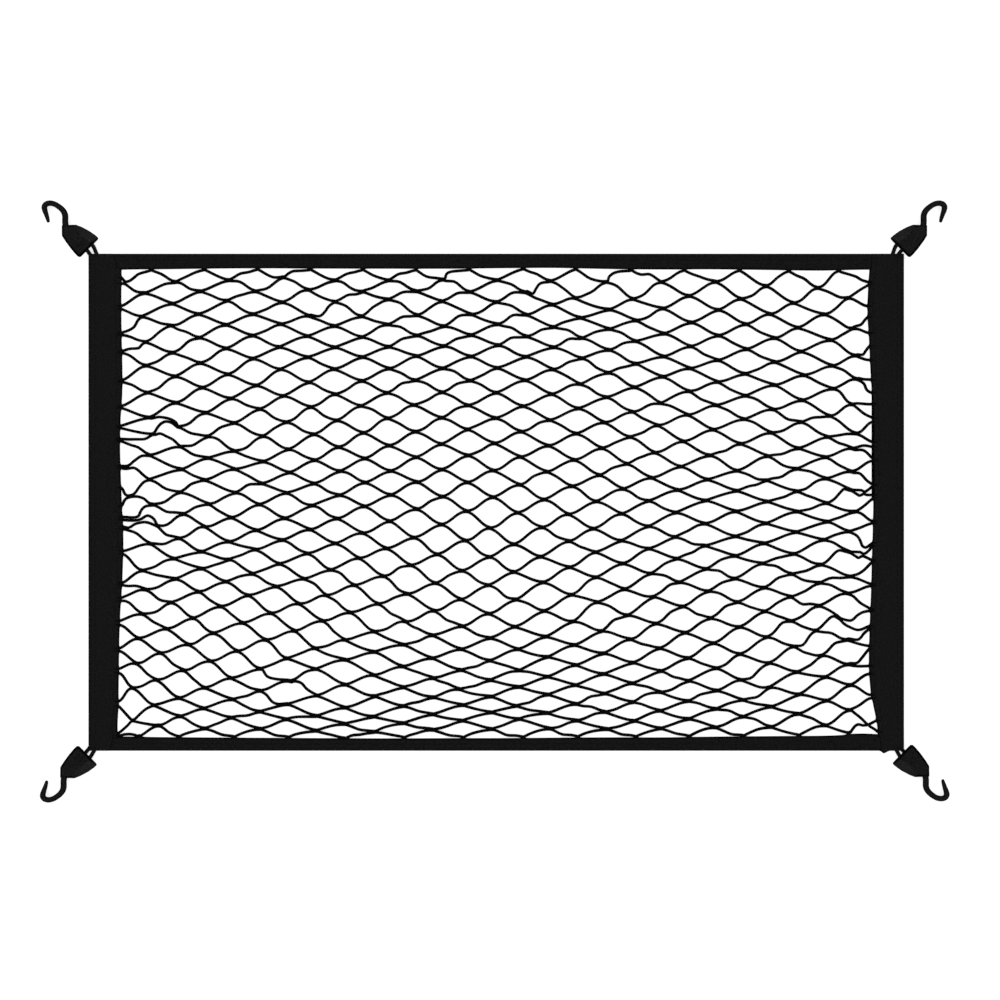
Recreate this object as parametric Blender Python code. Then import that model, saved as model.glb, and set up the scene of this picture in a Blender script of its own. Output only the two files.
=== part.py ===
"""Cargo net, laid flat: an elastic diamond net in a frame of four bands,
with a moulded hook on a cord loop at each corner.

Units in the tables are millimetres. +X runs along the long side, +Y towards the
top edge and +Z up from the surface that the net lies on. The origin is on that
surface, in the middle of the part's outline.
"""

import math

import bmesh
import bpy
from mathutils import Vector

MM = 0.001
GAP = 0.3  # between pieces that touch on the real thing

# The four bands, seen from above.
FRAME_LEFT = -406.0
FRAME_RIGHT = 408.6
FRAME_TOP = 246.4
FRAME_BOTTOM = -248.9
TOP_BAND_WIDTH = 14.0
BOTTOM_BAND_WIDTH = 12.4
SIDE_BAND_THICK = 3.0
CROSS_BAND_THICK = 2.6
BAND_EDGE_ROUND = 0.6
BAND_EDGE_STEPS = 2
# Where the cross bands end against the side bands: x at the frame's outer edge and at its inner edge.
TOP_SEAM_LEFT = (-381.0, -379.0)
TOP_SEAM_RIGHT = (377.5, 376.5)
BOTTOM_SEAM_LEFT = (-385.0, -381.3)
BOTTOM_SEAM_RIGHT = (386.5, 384.0)

# How wide each side band is down its length. The elastic draws in unevenly.
#        height  left   right
BAND_WIDTHS = (
    (232.0, 31.6, 33.6),
    (190.0, 31.3, 35.5),
    (150.0, 32.0, 33.3),
    (110.0, 32.2, 31.4),
    (60.0, 30.0, 30.0),
    (10.0, 31.2, 29.7),
    (-40.0, 33.2, 30.5),
    (-85.0, 32.0, 31.8),
    (-125.0, 30.0, 33.4),
    (-165.0, 28.8, 34.0),
    (-205.0, 28.5, 29.6),
    (-236.0, 28.5, 24.8),
)

# The net. Its meshes are drawn at about one and a half times the real pitch.
STRAND_WIDE = 2.4
NET_THICK = 2.3
NET_LIFT = 0.2  # the net lies inside the bands' thickness
KNOT_LONG = 5.0  # where two strands twist together
NET_ACROSS = 20  # half meshes from the left edge to the right
NET_DOWN = 26  # half meshes from the top edge to the bottom

# How far the elastic strands have drifted from an even net, in mm. The stations
# are fractions of the way across, and each row starts with the fraction of the way down.
STATIONS = (0.0, 0.18, 0.32, 0.46, 0.61, 0.75, 0.89, 1.0)
DRIFT_RIGHT = (
    (0.0, 0, 2, 0, -1, 0, 3, -1, 0),
    (0.2, 0, -2, 0, 1, 5, 6, 11, 0),
    (0.4, 0, 9, 3, -2, -2, -4, 8, 0),
    (0.6, 0, 1, -3, -7, -8, -7, 4, 0),
    (0.8, 0, -17, -16, -8, -1, 4, 5, 0),
    (1.0, 0, -21, -17, -7, 4, 4, 10, 0),
)
DRIFT_UP = (
    (0.0, 0, 0, 0, 0, 0, 0, 0, 0),
    (0.2, -4, 4, 5, 6, 4, -6, -12, -7),
    (0.4, 3, -5, -3, 0, -4, -11, -13, 5),
    (0.6, 11, 0, -9, -21, -17, -9, -3, 16),
    (0.8, 8, -8, -17, -27, -22, -14, -4, 21),
    (1.0, 0, 0, 0, 0, 0, 0, 0, 0),
)

# One hook, the top left one, measured from the frame's corner beside it.
# The bell is a shield: its rim, and the flat top face inside the sloping facets.
#        rim x  rim y  top x  top y
BELL_OUTLINE = (
    (-27.0, 29.6, -24.6, 27.4),
    (-27.0, 19.3, -24.2, 20.2),
    (-23.3, 12.9, -20.3, 15.0),
    (-18.0, 5.9, -14.8, 8.2),
    (-13.3, 0.4, -10.2, 3.0),
    (-10.6, -1.7, -8.2, 1.4),
    (-8.9, -1.0, -7.2, 1.6),
    (8.1, 15.7, 1.9, 10.7),
    (8.5, 17.4, 1.4, 12.4),
    (5.7, 19.8, -0.6, 14.2),
    (0.7, 23.2, -4.4, 17.4),
    (-7.3, 27.7, -10.4, 23.2),
    (-13.0, 30.3, -14.8, 27.2),
    (-21.0, 30.5, -20.6, 28.2),
)
BELL_FOOT_INSET = 0.96
BELL_FOOT_HIGH = 0.8
BELL_RIM_HIGH = 4.0
BELL_HIGH_AT_MOUTH = 10.4
BELL_HIGH_AT_NECK = 8.4
BELL_LONG = 34.0

# The cane hook, from its round tip over the crest and down into the bell.
#        x      y     radius
HOOK_WIRE = (
    (-40.9, 33.9, 0.9),
    (-41.3, 35.4, 1.75),
    (-42.7, 39.6, 2.1),
    (-44.3, 44.0, 2.4),
    (-44.9, 47.6, 2.5),
    (-43.4, 50.6, 2.45),
    (-40.0, 51.9, 2.4),
    (-35.5, 51.2, 2.4),
    (-30.5, 48.3, 2.5),
    (-26.4, 44.0, 2.6),
    (-24.3, 38.8, 2.75),
    (-24.0, 31.0, 2.75),
    (-21.5, 22.0, 2.75),
)
WIRE_HEIGHT = 4.6
WIRE_SIDES = 10
WIRE_STEPS = 2

# The cord loop goes round a post in the bell's mouth and is sewn into the bands' corner.
CORD_RADIUS = 1.6
CORD_SIDES = 8
LOOP_CENTRE = (-3.5, 11.1)
LOOP_TURN = 3.8
LOOP_HIGH_IN_BELL = 3.7
LOOP_HIGH_AT_BAND = 1.9
LOOP_SEWN = -2.5  # how far past the frame's edge its ends run before they are trimmed
LOOP_LEG = 3.5  # the straight part of each leg in the bell
LOOP_BOW = (7.5, 0.4)  # how far out of the bell, and aside, the outer leg bows
LOOP_BEND_STEPS = 6
CORNER_BLOCK = 20.0
CORNER_BLOCK_LOW = -5.0
POCKET_SPARE = 0.35
POCKET_DEEP = 6.0  # behind the loop's centre
POCKET_OUT = 12.0  # past the bell's mouth
POST_LOW = 1.0
POST_HIGH = 6.6

# Which way each hook is turned, how far it has slid from the top left one's place, and
# how far along the frame's edge from the corner the two ends of its loop are sewn in.
#     name           side  end  slid x  slid y  outer  inner
HOOKS = (
    ("top_left", 1, 1, 0.0, 0.0, 9.6, 4.4),
    ("top_right", -1, 1, -4.1, -0.8, 12.0, 6.8),
    ("bottom_left", 1, -1, -1.0, 2.5, 6.8, 2.4),
    ("bottom_right", -1, -1, -1.8, 3.5, 8.6, 3.4),
)

FABRIC_COLOUR = (0.012, 0.012, 0.013, 1.0)
CORD_COLOUR = (0.008, 0.008, 0.009, 1.0)
PLASTIC_COLOUR = (0.02, 0.02, 0.022, 1.0)


def clear_scene():
    for thing in list(bpy.data.objects):
        bpy.data.objects.remove(thing, do_unlink=True)


def make_material(name, colour, roughness):
    material = bpy.data.materials.new(name)
    material.use_nodes = True
    shader = material.node_tree.nodes["Principled BSDF"]
    shader.inputs["Base Color"].default_value = colour
    shader.inputs["Roughness"].default_value = roughness
    shader.inputs["Metallic"].default_value = 0.0
    return material


def add_object(name, bm, material):
    """Turn a bmesh in millimetres into an object in metres with its faces pointing out."""
    bmesh.ops.scale(bm, vec=(MM, MM, MM), verts=bm.verts)
    bmesh.ops.recalc_face_normals(bm, faces=bm.faces)
    mesh = bpy.data.meshes.new(name)
    bm.to_mesh(mesh)
    bm.free()
    mesh.materials.append(material)
    thing = bpy.data.objects.new(name, mesh)
    bpy.context.collection.objects.link(thing)
    return thing


def smooth_through(places, values, at):
    """A smooth curve through values at uneven places, read at one place."""
    at = min(max(at, places[0]), places[-1])
    right = 1
    while places[right] < at:
        right += 1
    left = right - 1
    span = places[right] - places[left]
    t = (at - places[left]) / span

    def slope(k):
        before = max(k - 1, 0)
        after = min(k + 1, len(places) - 1)
        return (values[after] - values[before]) / (places[after] - places[before])

    rise = (
        (2 * t**3 - 3 * t**2 + 1) * values[left]
        + (t**3 - 2 * t**2 + t) * span * slope(left)
        + (3 * t**2 - 2 * t**3) * values[right]
        + (t**3 - t**2) * span * slope(right)
    )
    return rise


def read_drift(table, across, down):
    rows = [row[0] for row in table]
    values = [smooth_through(STATIONS, row[1:], across) for row in table]
    return smooth_through(rows, values, down)


def band_width(side, y):
    """Width of the left (-1) or right (1) band at a height on the frame."""
    column = 1 if side < 0 else 2
    heights = [-row[0] for row in BAND_WIDTHS]
    widths = [row[column] for row in BAND_WIDTHS]
    return smooth_through(heights, widths, -y)


def inner_edge(side, y):
    """Where the left or right band ends and the net begins."""
    if side < 0:
        return FRAME_LEFT + band_width(side, y)
    return FRAME_RIGHT - band_width(side, y)


NET_TOP = FRAME_TOP - TOP_BAND_WIDTH
NET_BOTTOM = FRAME_BOTTOM + BOTTOM_BAND_WIDTH


def net_point(column, row):
    """The middle of the net's crossing at a half-mesh column and row."""
    across = column / NET_ACROSS
    down = row / NET_DOWN
    y = NET_TOP - (NET_TOP - NET_BOTTOM) * down + read_drift(DRIFT_UP, across, down)
    low = inner_edge(-1, y) + GAP
    high = inner_edge(1, y) - GAP
    x = low + (high - low) * across + read_drift(DRIFT_RIGHT, across, down)
    return x, min(max(y, NET_BOTTOM + GAP), NET_TOP - GAP)


def edge_heights(side):
    """Heights at which the net's crossings meet a side band, from the top down."""
    column = 0 if side < 0 else NET_ACROSS
    rows = [0] + list(range(1, NET_DOWN, 2)) + [NET_DOWN]
    return [net_point(column, row)[1] for row in rows]


def make_prism(outline, low, high):
    """A bmesh slab over a closed outline of (x, y) points."""
    bm = bmesh.new()
    floor = [bm.verts.new((x, y, low)) for x, y in outline]
    base = bm.faces.new(floor)
    lifted = bmesh.ops.extrude_face_region(bm, geom=[base])
    raised = [item for item in lifted["geom"] if isinstance(item, bmesh.types.BMVert)]
    bmesh.ops.translate(bm, vec=(0.0, 0.0, high - low), verts=raised)
    return bm


def add_band(name, outline, thick, material):
    band = add_object(name, make_prism(outline, 0.0, thick), material)
    rounding = band.modifiers.new("soft edges", "BEVEL")
    rounding.width = BAND_EDGE_ROUND * MM
    rounding.segments = BAND_EDGE_STEPS
    rounding.limit_method = "ANGLE"
    rounding.angle_limit = math.radians(50.0)
    return band


def side_band_outline(side):
    """A side band runs the frame's full height. The cross bands butt its notched inner corners."""
    outer = FRAME_LEFT if side < 0 else FRAME_RIGHT
    top_seam = TOP_SEAM_LEFT if side < 0 else TOP_SEAM_RIGHT
    bottom_seam = BOTTOM_SEAM_LEFT if side < 0 else BOTTOM_SEAM_RIGHT
    heights = edge_heights(side)
    outline = [(outer, FRAME_BOTTOM), (outer, FRAME_TOP), (top_seam[0], FRAME_TOP)]
    outline.append((top_seam[1], NET_TOP - GAP))
    outline += [(inner_edge(side, y), y - GAP) for y in heights[:1]]
    outline += [(inner_edge(side, y), y) for y in heights[1:-1]]
    outline += [(inner_edge(side, y), y + GAP) for y in heights[-1:]]
    outline.append((bottom_seam[1], NET_BOTTOM + GAP))
    outline.append((bottom_seam[0], FRAME_BOTTOM))
    return outline


def cross_band_outline(outer_y, inner_y, seam_left, seam_right):
    return [
        (seam_left[0] + GAP, outer_y),
        (seam_right[0] - GAP, outer_y),
        (seam_right[1] - GAP, inner_y),
        (seam_left[1] + GAP, inner_y),
    ]


def add_bands(material):
    add_band("band_left", side_band_outline(-1), SIDE_BAND_THICK, material)
    add_band("band_right", side_band_outline(1), SIDE_BAND_THICK, material)
    top = cross_band_outline(FRAME_TOP, NET_TOP, TOP_SEAM_LEFT, TOP_SEAM_RIGHT)
    bottom = cross_band_outline(FRAME_BOTTOM, NET_BOTTOM, BOTTOM_SEAM_LEFT, BOTTOM_SEAM_RIGHT)
    add_band("band_top", top, CROSS_BAND_THICK, material)
    add_band("band_bottom", bottom, CROSS_BAND_THICK, material)


class NetVerts:
    """The net's crossings as bmesh vertices, made once each and shared by their meshes."""

    def __init__(self, bm):
        self.bm = bm
        self.made = {}

    def get(self, column, row, end):
        """A crossing's left (-1) or right (1) end. On a side edge both ends are one point."""
        on_side = column in (0, NET_ACROSS)
        key = (column, row, 0 if on_side else end)
        if key not in self.made:
            x, y = net_point(column, row)
            x += key[2] * KNOT_LONG / 2
            self.made[key] = self.bm.verts.new((x, y, NET_LIFT))
        return self.made[key]


def mesh_corners(verts, column, row):
    """The corners of the mesh whose middle is at this column and row, in order round it."""
    left, right = column - 1, column + 1
    above, below = row - 1, row + 1
    corners = []
    corners.append(verts.get(left, row, 1) if left >= 0 else None)
    if above >= 0:
        corners += [verts.get(column, above, -1), verts.get(column, above, 1)]
    elif column in (0, NET_ACROSS):
        corners.append(verts.get(column, row, 0))
    corners.append(verts.get(right, row, -1) if right <= NET_ACROSS else None)
    if below <= NET_DOWN:
        corners += [verts.get(column, below, 1), verts.get(column, below, -1)]
    elif column in (0, NET_ACROSS):
        corners.append(verts.get(column, row, 0))
    return list(dict.fromkeys(corner for corner in corners if corner is not None))


def add_net(material):
    bm = bmesh.new()
    verts = NetVerts(bm)
    for row in range(NET_DOWN + 1):
        for column in range(row % 2, NET_ACROSS + 1, 2):
            bm.faces.new(mesh_corners(verts, column, row))
    bm.normal_update()
    holes = list(bm.faces)
    bmesh.ops.inset_individual(bm, faces=holes, thickness=STRAND_WIDE / 2, use_even_offset=True)
    bmesh.ops.delete(bm, geom=holes, context="FACES")
    lifted = bmesh.ops.extrude_face_region(bm, geom=list(bm.faces))
    raised = [item for item in lifted["geom"] if isinstance(item, bmesh.types.BMVert)]
    bmesh.ops.translate(bm, vec=(0.0, 0.0, NET_THICK), verts=raised)
    add_object("net", bm, material)


def curve_points(rows, steps):
    """Rows of numbers read smoothly, with some steps between each two rows."""
    places = list(range(len(rows)))
    columns = list(zip(*rows))
    count = (len(rows) - 1) * steps
    return [
        [smooth_through(places, column, k / steps) for column in columns]
        for k in range(count + 1)
    ]


def sweep(path, sides):
    """A closed round bar along points of (x, y, z, radius)."""
    bm = bmesh.new()
    centres = [Vector(point[:3]) for point in path]
    rings = []
    for k, centre in enumerate(centres):
        ahead = centres[min(k + 1, len(centres) - 1)]
        behind = centres[max(k - 1, 0)]
        along = (ahead - behind).normalized()
        across = Vector((-along.y, along.x, 0.0)).normalized()
        up = along.cross(across)
        ring = []
        for side in range(sides):
            turn = 2 * math.pi * (side + 0.5) / sides
            spread = across * math.cos(turn) + up * math.sin(turn)
            ring.append(bm.verts.new(centre + spread * path[k][3]))
        rings.append(ring)
    for first, second in zip(rings, rings[1:]):
        for side in range(sides):
            beside = (side + 1) % sides
            bm.faces.new((first[side], first[beside], second[beside], second[side]))
    bm.faces.new(rings[0][::-1])
    bm.faces.new(rings[-1])
    return bm


def hook_place(hook, x, y):
    """A point beside the top left corner, carried to where this hook lies."""
    _, side, end, slid_x, slid_y, _, _ = hook
    corner_x = FRAME_LEFT if side > 0 else FRAME_RIGHT
    corner_y = FRAME_TOP if end > 0 else FRAME_BOTTOM
    return corner_x + side * x + slid_x, corner_y + end * y + slid_y


def mouth_point(out, aside):
    """A point near the bell's mouth: out along the bell's axis from the loop's centre, and aside."""
    diagonal = math.sqrt(0.5)
    return (
        LOOP_CENTRE[0] + diagonal * (out + aside),
        LOOP_CENTRE[1] + diagonal * (aside - out),
    )


def bell_height(x, y):
    """The bell rises from its neck to its mouth."""
    mouth = mouth_point(0.0, 0.0)
    back = ((mouth[0] - x) + (y - mouth[1])) * math.sqrt(0.5)
    share = min(max(back / BELL_LONG, 0.0), 1.0)
    return BELL_HIGH_AT_MOUTH + (BELL_HIGH_AT_NECK - BELL_HIGH_AT_MOUTH) * share


def add_bell(hook, material):
    rim = [(row[0], row[1]) for row in BELL_OUTLINE]
    top = [(row[2], row[3]) for row in BELL_OUTLINE]
    middle_x = sum(x for x, _ in rim) / len(rim)
    middle_y = sum(y for _, y in rim) / len(rim)
    foot = [
        (middle_x + (x - middle_x) * BELL_FOOT_INSET, middle_y + (y - middle_y) * BELL_FOOT_INSET)
        for x, y in rim
    ]
    bm = bmesh.new()
    levels = []
    for outline, height in ((foot, 0.0), (rim, BELL_FOOT_HIGH), (rim, BELL_RIM_HIGH), (top, None)):
        level = []
        for x, y in outline:
            z = bell_height(x, y) if height is None else height
            level.append(bm.verts.new((*hook_place(hook, x, y), z)))
        levels.append(level)
    count = len(rim)
    for lower, upper in zip(levels, levels[1:]):
        for k in range(count):
            beside = (k + 1) % count
            bm.faces.new((lower[k], lower[beside], upper[beside], upper[k]))
    bm.faces.new(levels[0][::-1])
    bm.faces.new(levels[-1])
    return add_object("hook_" + hook[0], bm, material)


def pocket_cutter(hook, material):
    """The box-shaped pocket in the bell's mouth that the loop sits in."""
    half = LOOP_TURN + CORD_RADIUS + POCKET_SPARE
    corners = ((POCKET_OUT, -half), (POCKET_OUT, half), (-POCKET_DEEP, half), (-POCKET_DEEP, -half))
    outline = [hook_place(hook, *mouth_point(out, aside)) for out, aside in corners]
    low = LOOP_HIGH_IN_BELL - CORD_RADIUS - POCKET_SPARE
    high = LOOP_HIGH_IN_BELL + CORD_RADIUS + POCKET_SPARE
    return add_object("cutter_pocket_" + hook[0], make_prism(outline, low, high), material)


def post_bar(hook, material):
    """The post across the pocket that holds the loop."""
    radius = LOOP_TURN - CORD_RADIUS - GAP
    outline = []
    for k in range(WIRE_SIDES):
        turn = 2 * math.pi * k / WIRE_SIDES
        outline.append(hook_place(hook, *mouth_point(radius * math.cos(turn), radius * math.sin(turn))))
    return add_object("guide_post_" + hook[0], make_prism(outline, POST_LOW, POST_HIGH), material)


def wire_bar(hook, material):
    path = []
    for x, y, radius in curve_points(HOOK_WIRE, WIRE_STEPS):
        path.append((*hook_place(hook, x, y), WIRE_HEIGHT, radius))
    return add_object("guide_wire_" + hook[0], sweep(path, WIRE_SIDES), material)


def combine(body, tool, operation):
    tool.hide_render = True
    tool.display_type = "WIRE"
    step = body.modifiers.new(tool.name, "BOOLEAN")
    step.operation = operation
    step.solver = "EXACT"
    step.object = tool


def add_hook(hook, material):
    bell = add_bell(hook, material)
    combine(bell, pocket_cutter(hook, material), "DIFFERENCE")
    combine(bell, post_bar(hook, material), "UNION")
    combine(bell, wire_bar(hook, material), "UNION")


def corner_block(hook, material):
    """The bands' corner, grown by the gap, which trims the loop's two sewn ends."""
    _, side, end, _, _, _, _ = hook
    corner_x = (FRAME_LEFT if side > 0 else FRAME_RIGHT) - side * GAP
    corner_y = (FRAME_TOP if end > 0 else FRAME_BOTTOM) + end * GAP
    far_x = corner_x + side * CORNER_BLOCK
    far_y = corner_y - end * CORNER_BLOCK
    outline = [(corner_x, corner_y), (far_x, corner_y), (far_x, far_y), (corner_x, far_y)]
    return add_object("cutter_corner_" + hook[0], make_prism(outline, CORNER_BLOCK_LOW, CORNER_BLOCK), material)


def add_loop(hook, material):
    """A cord from the bands' corner, round the post in the bell and back."""
    _, side, end, slid_x, slid_y, outer, inner = hook
    sewn_y = LOOP_SEWN - slid_y * end
    rows = [(outer - slid_x * side, sewn_y, LOOP_HIGH_AT_BAND)]
    rows.append((*mouth_point(LOOP_BOW[0], LOOP_TURN + LOOP_BOW[1]), LOOP_HIGH_IN_BELL))
    rows.append((*mouth_point(LOOP_LEG, LOOP_TURN), LOOP_HIGH_IN_BELL))
    for k in range(LOOP_BEND_STEPS + 1):
        turn = math.pi * (0.5 - k / LOOP_BEND_STEPS)
        out = -LOOP_TURN * math.cos(turn)
        rows.append((*mouth_point(out, LOOP_TURN * math.sin(turn)), LOOP_HIGH_IN_BELL))
    rows.append((*mouth_point(LOOP_LEG, -LOOP_TURN), LOOP_HIGH_IN_BELL))
    rows.append((inner - slid_x * side, sewn_y, LOOP_HIGH_AT_BAND))
    path = []
    for x, y, z in curve_points(rows, 2):
        path.append((*hook_place(hook, x, y), z, CORD_RADIUS))
    loop = add_object("loop_" + hook[0], sweep(path, CORD_SIDES), material)
    combine(loop, corner_block(hook, material), "DIFFERENCE")


def build():
    clear_scene()
    fabric = make_material("band_fabric", FABRIC_COLOUR, 0.85)
    strand = make_material("net_cord", CORD_COLOUR, 0.8)
    plastic = make_material("hook_plastic", PLASTIC_COLOUR, 0.45)
    add_bands(fabric)
    add_net(strand)
    for hook in HOOKS:
        add_hook(hook, plastic)
        add_loop(hook, strand)


build()
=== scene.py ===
"""The looks of the cargo net: round elastic strands at their true pitch, woven bands with
their stitching, moulded hooks and braided loops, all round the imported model.

Lengths in the tables are millimetres. +X is right and +Y is up in the picture.
"""

import math
import random
from collections import namedtuple

import bmesh
import bpy
import numpy as np
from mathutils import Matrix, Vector, noise


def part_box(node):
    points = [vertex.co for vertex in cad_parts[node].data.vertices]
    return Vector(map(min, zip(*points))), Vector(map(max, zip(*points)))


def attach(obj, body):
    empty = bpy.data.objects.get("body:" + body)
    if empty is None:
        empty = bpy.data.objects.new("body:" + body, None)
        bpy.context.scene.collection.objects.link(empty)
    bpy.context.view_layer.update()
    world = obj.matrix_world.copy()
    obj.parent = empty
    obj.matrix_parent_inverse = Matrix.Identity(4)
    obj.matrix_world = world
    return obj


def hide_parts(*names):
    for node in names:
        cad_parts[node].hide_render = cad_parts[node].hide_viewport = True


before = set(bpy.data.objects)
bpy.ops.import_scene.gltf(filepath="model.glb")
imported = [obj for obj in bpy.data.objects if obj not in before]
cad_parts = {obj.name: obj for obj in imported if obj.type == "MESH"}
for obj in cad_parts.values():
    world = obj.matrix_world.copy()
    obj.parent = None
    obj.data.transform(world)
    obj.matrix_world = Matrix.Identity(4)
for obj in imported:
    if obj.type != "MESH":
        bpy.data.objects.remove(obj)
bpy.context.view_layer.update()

MM = 0.001
SEED = 11
LEFT = -1
RIGHT = 1
BOTTOM = -1
TOP = 1

# ---------------- sizes from the frame

LEFT_BAND = [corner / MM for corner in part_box("band_left")]
RIGHT_BAND = [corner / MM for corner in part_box("band_right")]
TOP_BAND = [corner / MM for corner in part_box("band_top")]
BOTTOM_BAND = [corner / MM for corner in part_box("band_bottom")]
FRAME_LEFT = LEFT_BAND[0].x
FRAME_RIGHT = RIGHT_BAND[1].x
FRAME_TOP = TOP_BAND[1].y
FRAME_BOTTOM = BOTTOM_BAND[0].y
NET_TOP = TOP_BAND[0].y
NET_BOTTOM = BOTTOM_BAND[1].y
SIDE_THICK = LEFT_BAND[1].z
CROSS_THICK = TOP_BAND[1].z

# ---------------- the bands' tables

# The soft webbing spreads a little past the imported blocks.
WEB_LEFT = FRAME_LEFT - 0.7
WEB_RIGHT = FRAME_RIGHT + 0.55
WEB_TOP = FRAME_TOP + 0.95
WEB_BOTTOM = FRAME_BOTTOM - 0.95
SIDE_HEM = 5.0  # from a side band's inner edge to its stitching
CROSS_HEM = 2.6
BAND_STEP = 1.6  # between two stations along a band
BAND_FILL = 7  # more places across the band than its profile has
BAND_FOOT = 0.02  # the bands' underside, just off the floor
BAND_SHARP = 50.0
FLAT_START = 7.3  # the middle of a band's flat is halfway from here to its hem
SEAM_GAP = 0.5
SEAM_STEP = 0.1  # a side band has a station this far to each side of a seam's end
TUCKED_HEIGHT = 1.2  # of a side band's end, under a cross band
LEAST_STEP = 0.02
EDGE_PULL = 1.0  # how far a strand pulls out the edge that it is sewn to
PULL_REACH = 1.9
END_RUN = 6.0  # a band's sewn ends are pressed over this length
SIDE_PRESSED = 0.18  # and lose this share of their height
CROSS_PRESSED = 0.15

# How wide each side band is up its length: height, left and right.
BAND_WIDTHS = (
    (-236, 28.4, 25.2), (-222, 28.4, 26.6), (-205, 29.3, 30), (-188, 29.4, 33), (-163, 29.7, 34.5),
    (-138, 30.1, 34.1), (-112, 31, 33.2), (-87, 32.7, 32.2), (-62, 33.7, 31.6), (-36, 34.1, 30.8),
    (2, 32.4, 30), (24, 31.6, 30.2), (57, 30.8, 30.4), (82, 31.4, 30.4), (107, 33, 31.5), (132, 33.2, 33),
    (157, 32.6, 34.1), (190, 32.1, 36), (215, 32.2, 35.1), (232, 32.4, 34),
)

# How much wider the cross bands are than their packed blocks along their inner edges: x, top and
# bottom.
EDGE_WANDER = (
    (-379, 1.2, 0.9), (-362, 0.8, 0.8), (-350, 0.6, 0.5), (-330, 0.5, 0.2), (-285, -0.1, -0.1),
    (-240, -0.4, -0.4), (-165, -0.1, -0.8), (-105, 0, -1), (-45, 0, -0.8), (15, -0.6, -0.7),
    (60, -0.8, -0.3), (115, 0.3, 0), (170, 0.8, 0), (215, 0.6, 0.7), (275, 1.3, 1.2), (325, 1.9, 1.6),
    (347, 1.4, 2.3), (357, 1.2, 3.5), (370, 1, 3.8), (384, 1, 3.1),
)

# Where the cross bands end, left and right: x at the frame's outer edge and at its inner edge.
TOP_SEAMS = ((-381.5, -377.0), (376.8, 376.3))
BOTTOM_SEAMS = ((-385.0, -381.7), (386.3, 384.7))

# The right band's lower end hangs out where it laps over the bottom band.
LAP_OUT = 13.5
LAP_IN = 23.0
LAP_DROP = 2.6
LAP_LONG = 9.0

# A band's top cut across: how far in, how far below the full thickness, and how much it gathers.
SELVEDGE_CUT = (
    (0.25, 0.45, 0.4),
    (0.9, 0.05, 0.6),
    (2.1, 0.05, 0.8),
    (2.7, 0.4, 1.0),
    (3.3, 0.15, 1.0),
    (6.1, 0.12, 1.0),
    (6.6, 0.35, 1.0),
    (7.1, 0.15, 1.0),
)
FLAT_CUT = (0.05, 1.0)
HEM_CUT = ((-0.9, 0.3, 1.5), (0.0, 0.65, 1.0), (0.9, 0.3, 1.8))  # from the hem's stitching
INNER_CUT = ((-1.1, 0.15, 1.6), (-0.3, 0.55, 1.0))  # from the inner edge
OUTER_GATHER = 0.1
INNER_GATHER = 0.3
FLAT_MIDDLE = len(SELVEDGE_CUT) + 1  # this row of a profile is halfway over the flat

# The gathers of elastic webbing: how high, how long along and across, and where the noise starts.
GATHERS = ((0.16, 19.0, 60.0, 0.0), (0.10, 5.0, 30.0, 7.0))

# ---------------- the net's tables

COLUMNS = 28  # half meshes from the left band to the right
ROWS = 40  # half meshes from the top band to the bottom
STRAND_RADIUS = 1.6
STRAND_SIDES = 8
SPAN_STEPS = 8
SLACK_LEAD = 2.0
SLACK_STEPS = 4
KNOT_HALF = 1.6
KNOT_PART = 0.70  # from a knot's middle to each of its strands
KNOT_RISE = 0.35  # the strand that dips to a knot lies this much higher than the other
NET_HEIGHT = 1.7
SEWN_HEIGHT = 1.6
SEWN_IN = 4.0
SEWN_THIN = 0.8  # the share of a strand's thickness that is left where it is sewn in
SWELL = 0.07  # how uneven a strand's thickness is
SWELL_LONG = 7.0
SWELL_APART = 3.7  # between two strands, in the noise
SWELL_PLACE = 5.0
KNOT_STRAY = 0.7  # how far a knot strays from the smooth drift, at most
LEAN_STRAY = 0.10
BOW = 0.4  # how far a strand bows between two knots, at most

# How a strand turns where it climbs to a knot, dips to one, and is sewn into a cross band: how far
# from the knot's middle, how sharply before and after it, how it leans, and how far the turn
# reaches into the spans.
#             part       before  after  lean   reach
CREST_TURN = (KNOT_PART, 0.15, 0.15, -0.12, 0.33)
DIP_TURN = (KNOT_PART, 0.18, 0.18, 0.08, 0.31)
SEWN_TURN = (1.2, 0.22, 0.45, 0.0, 0.3)

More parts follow.
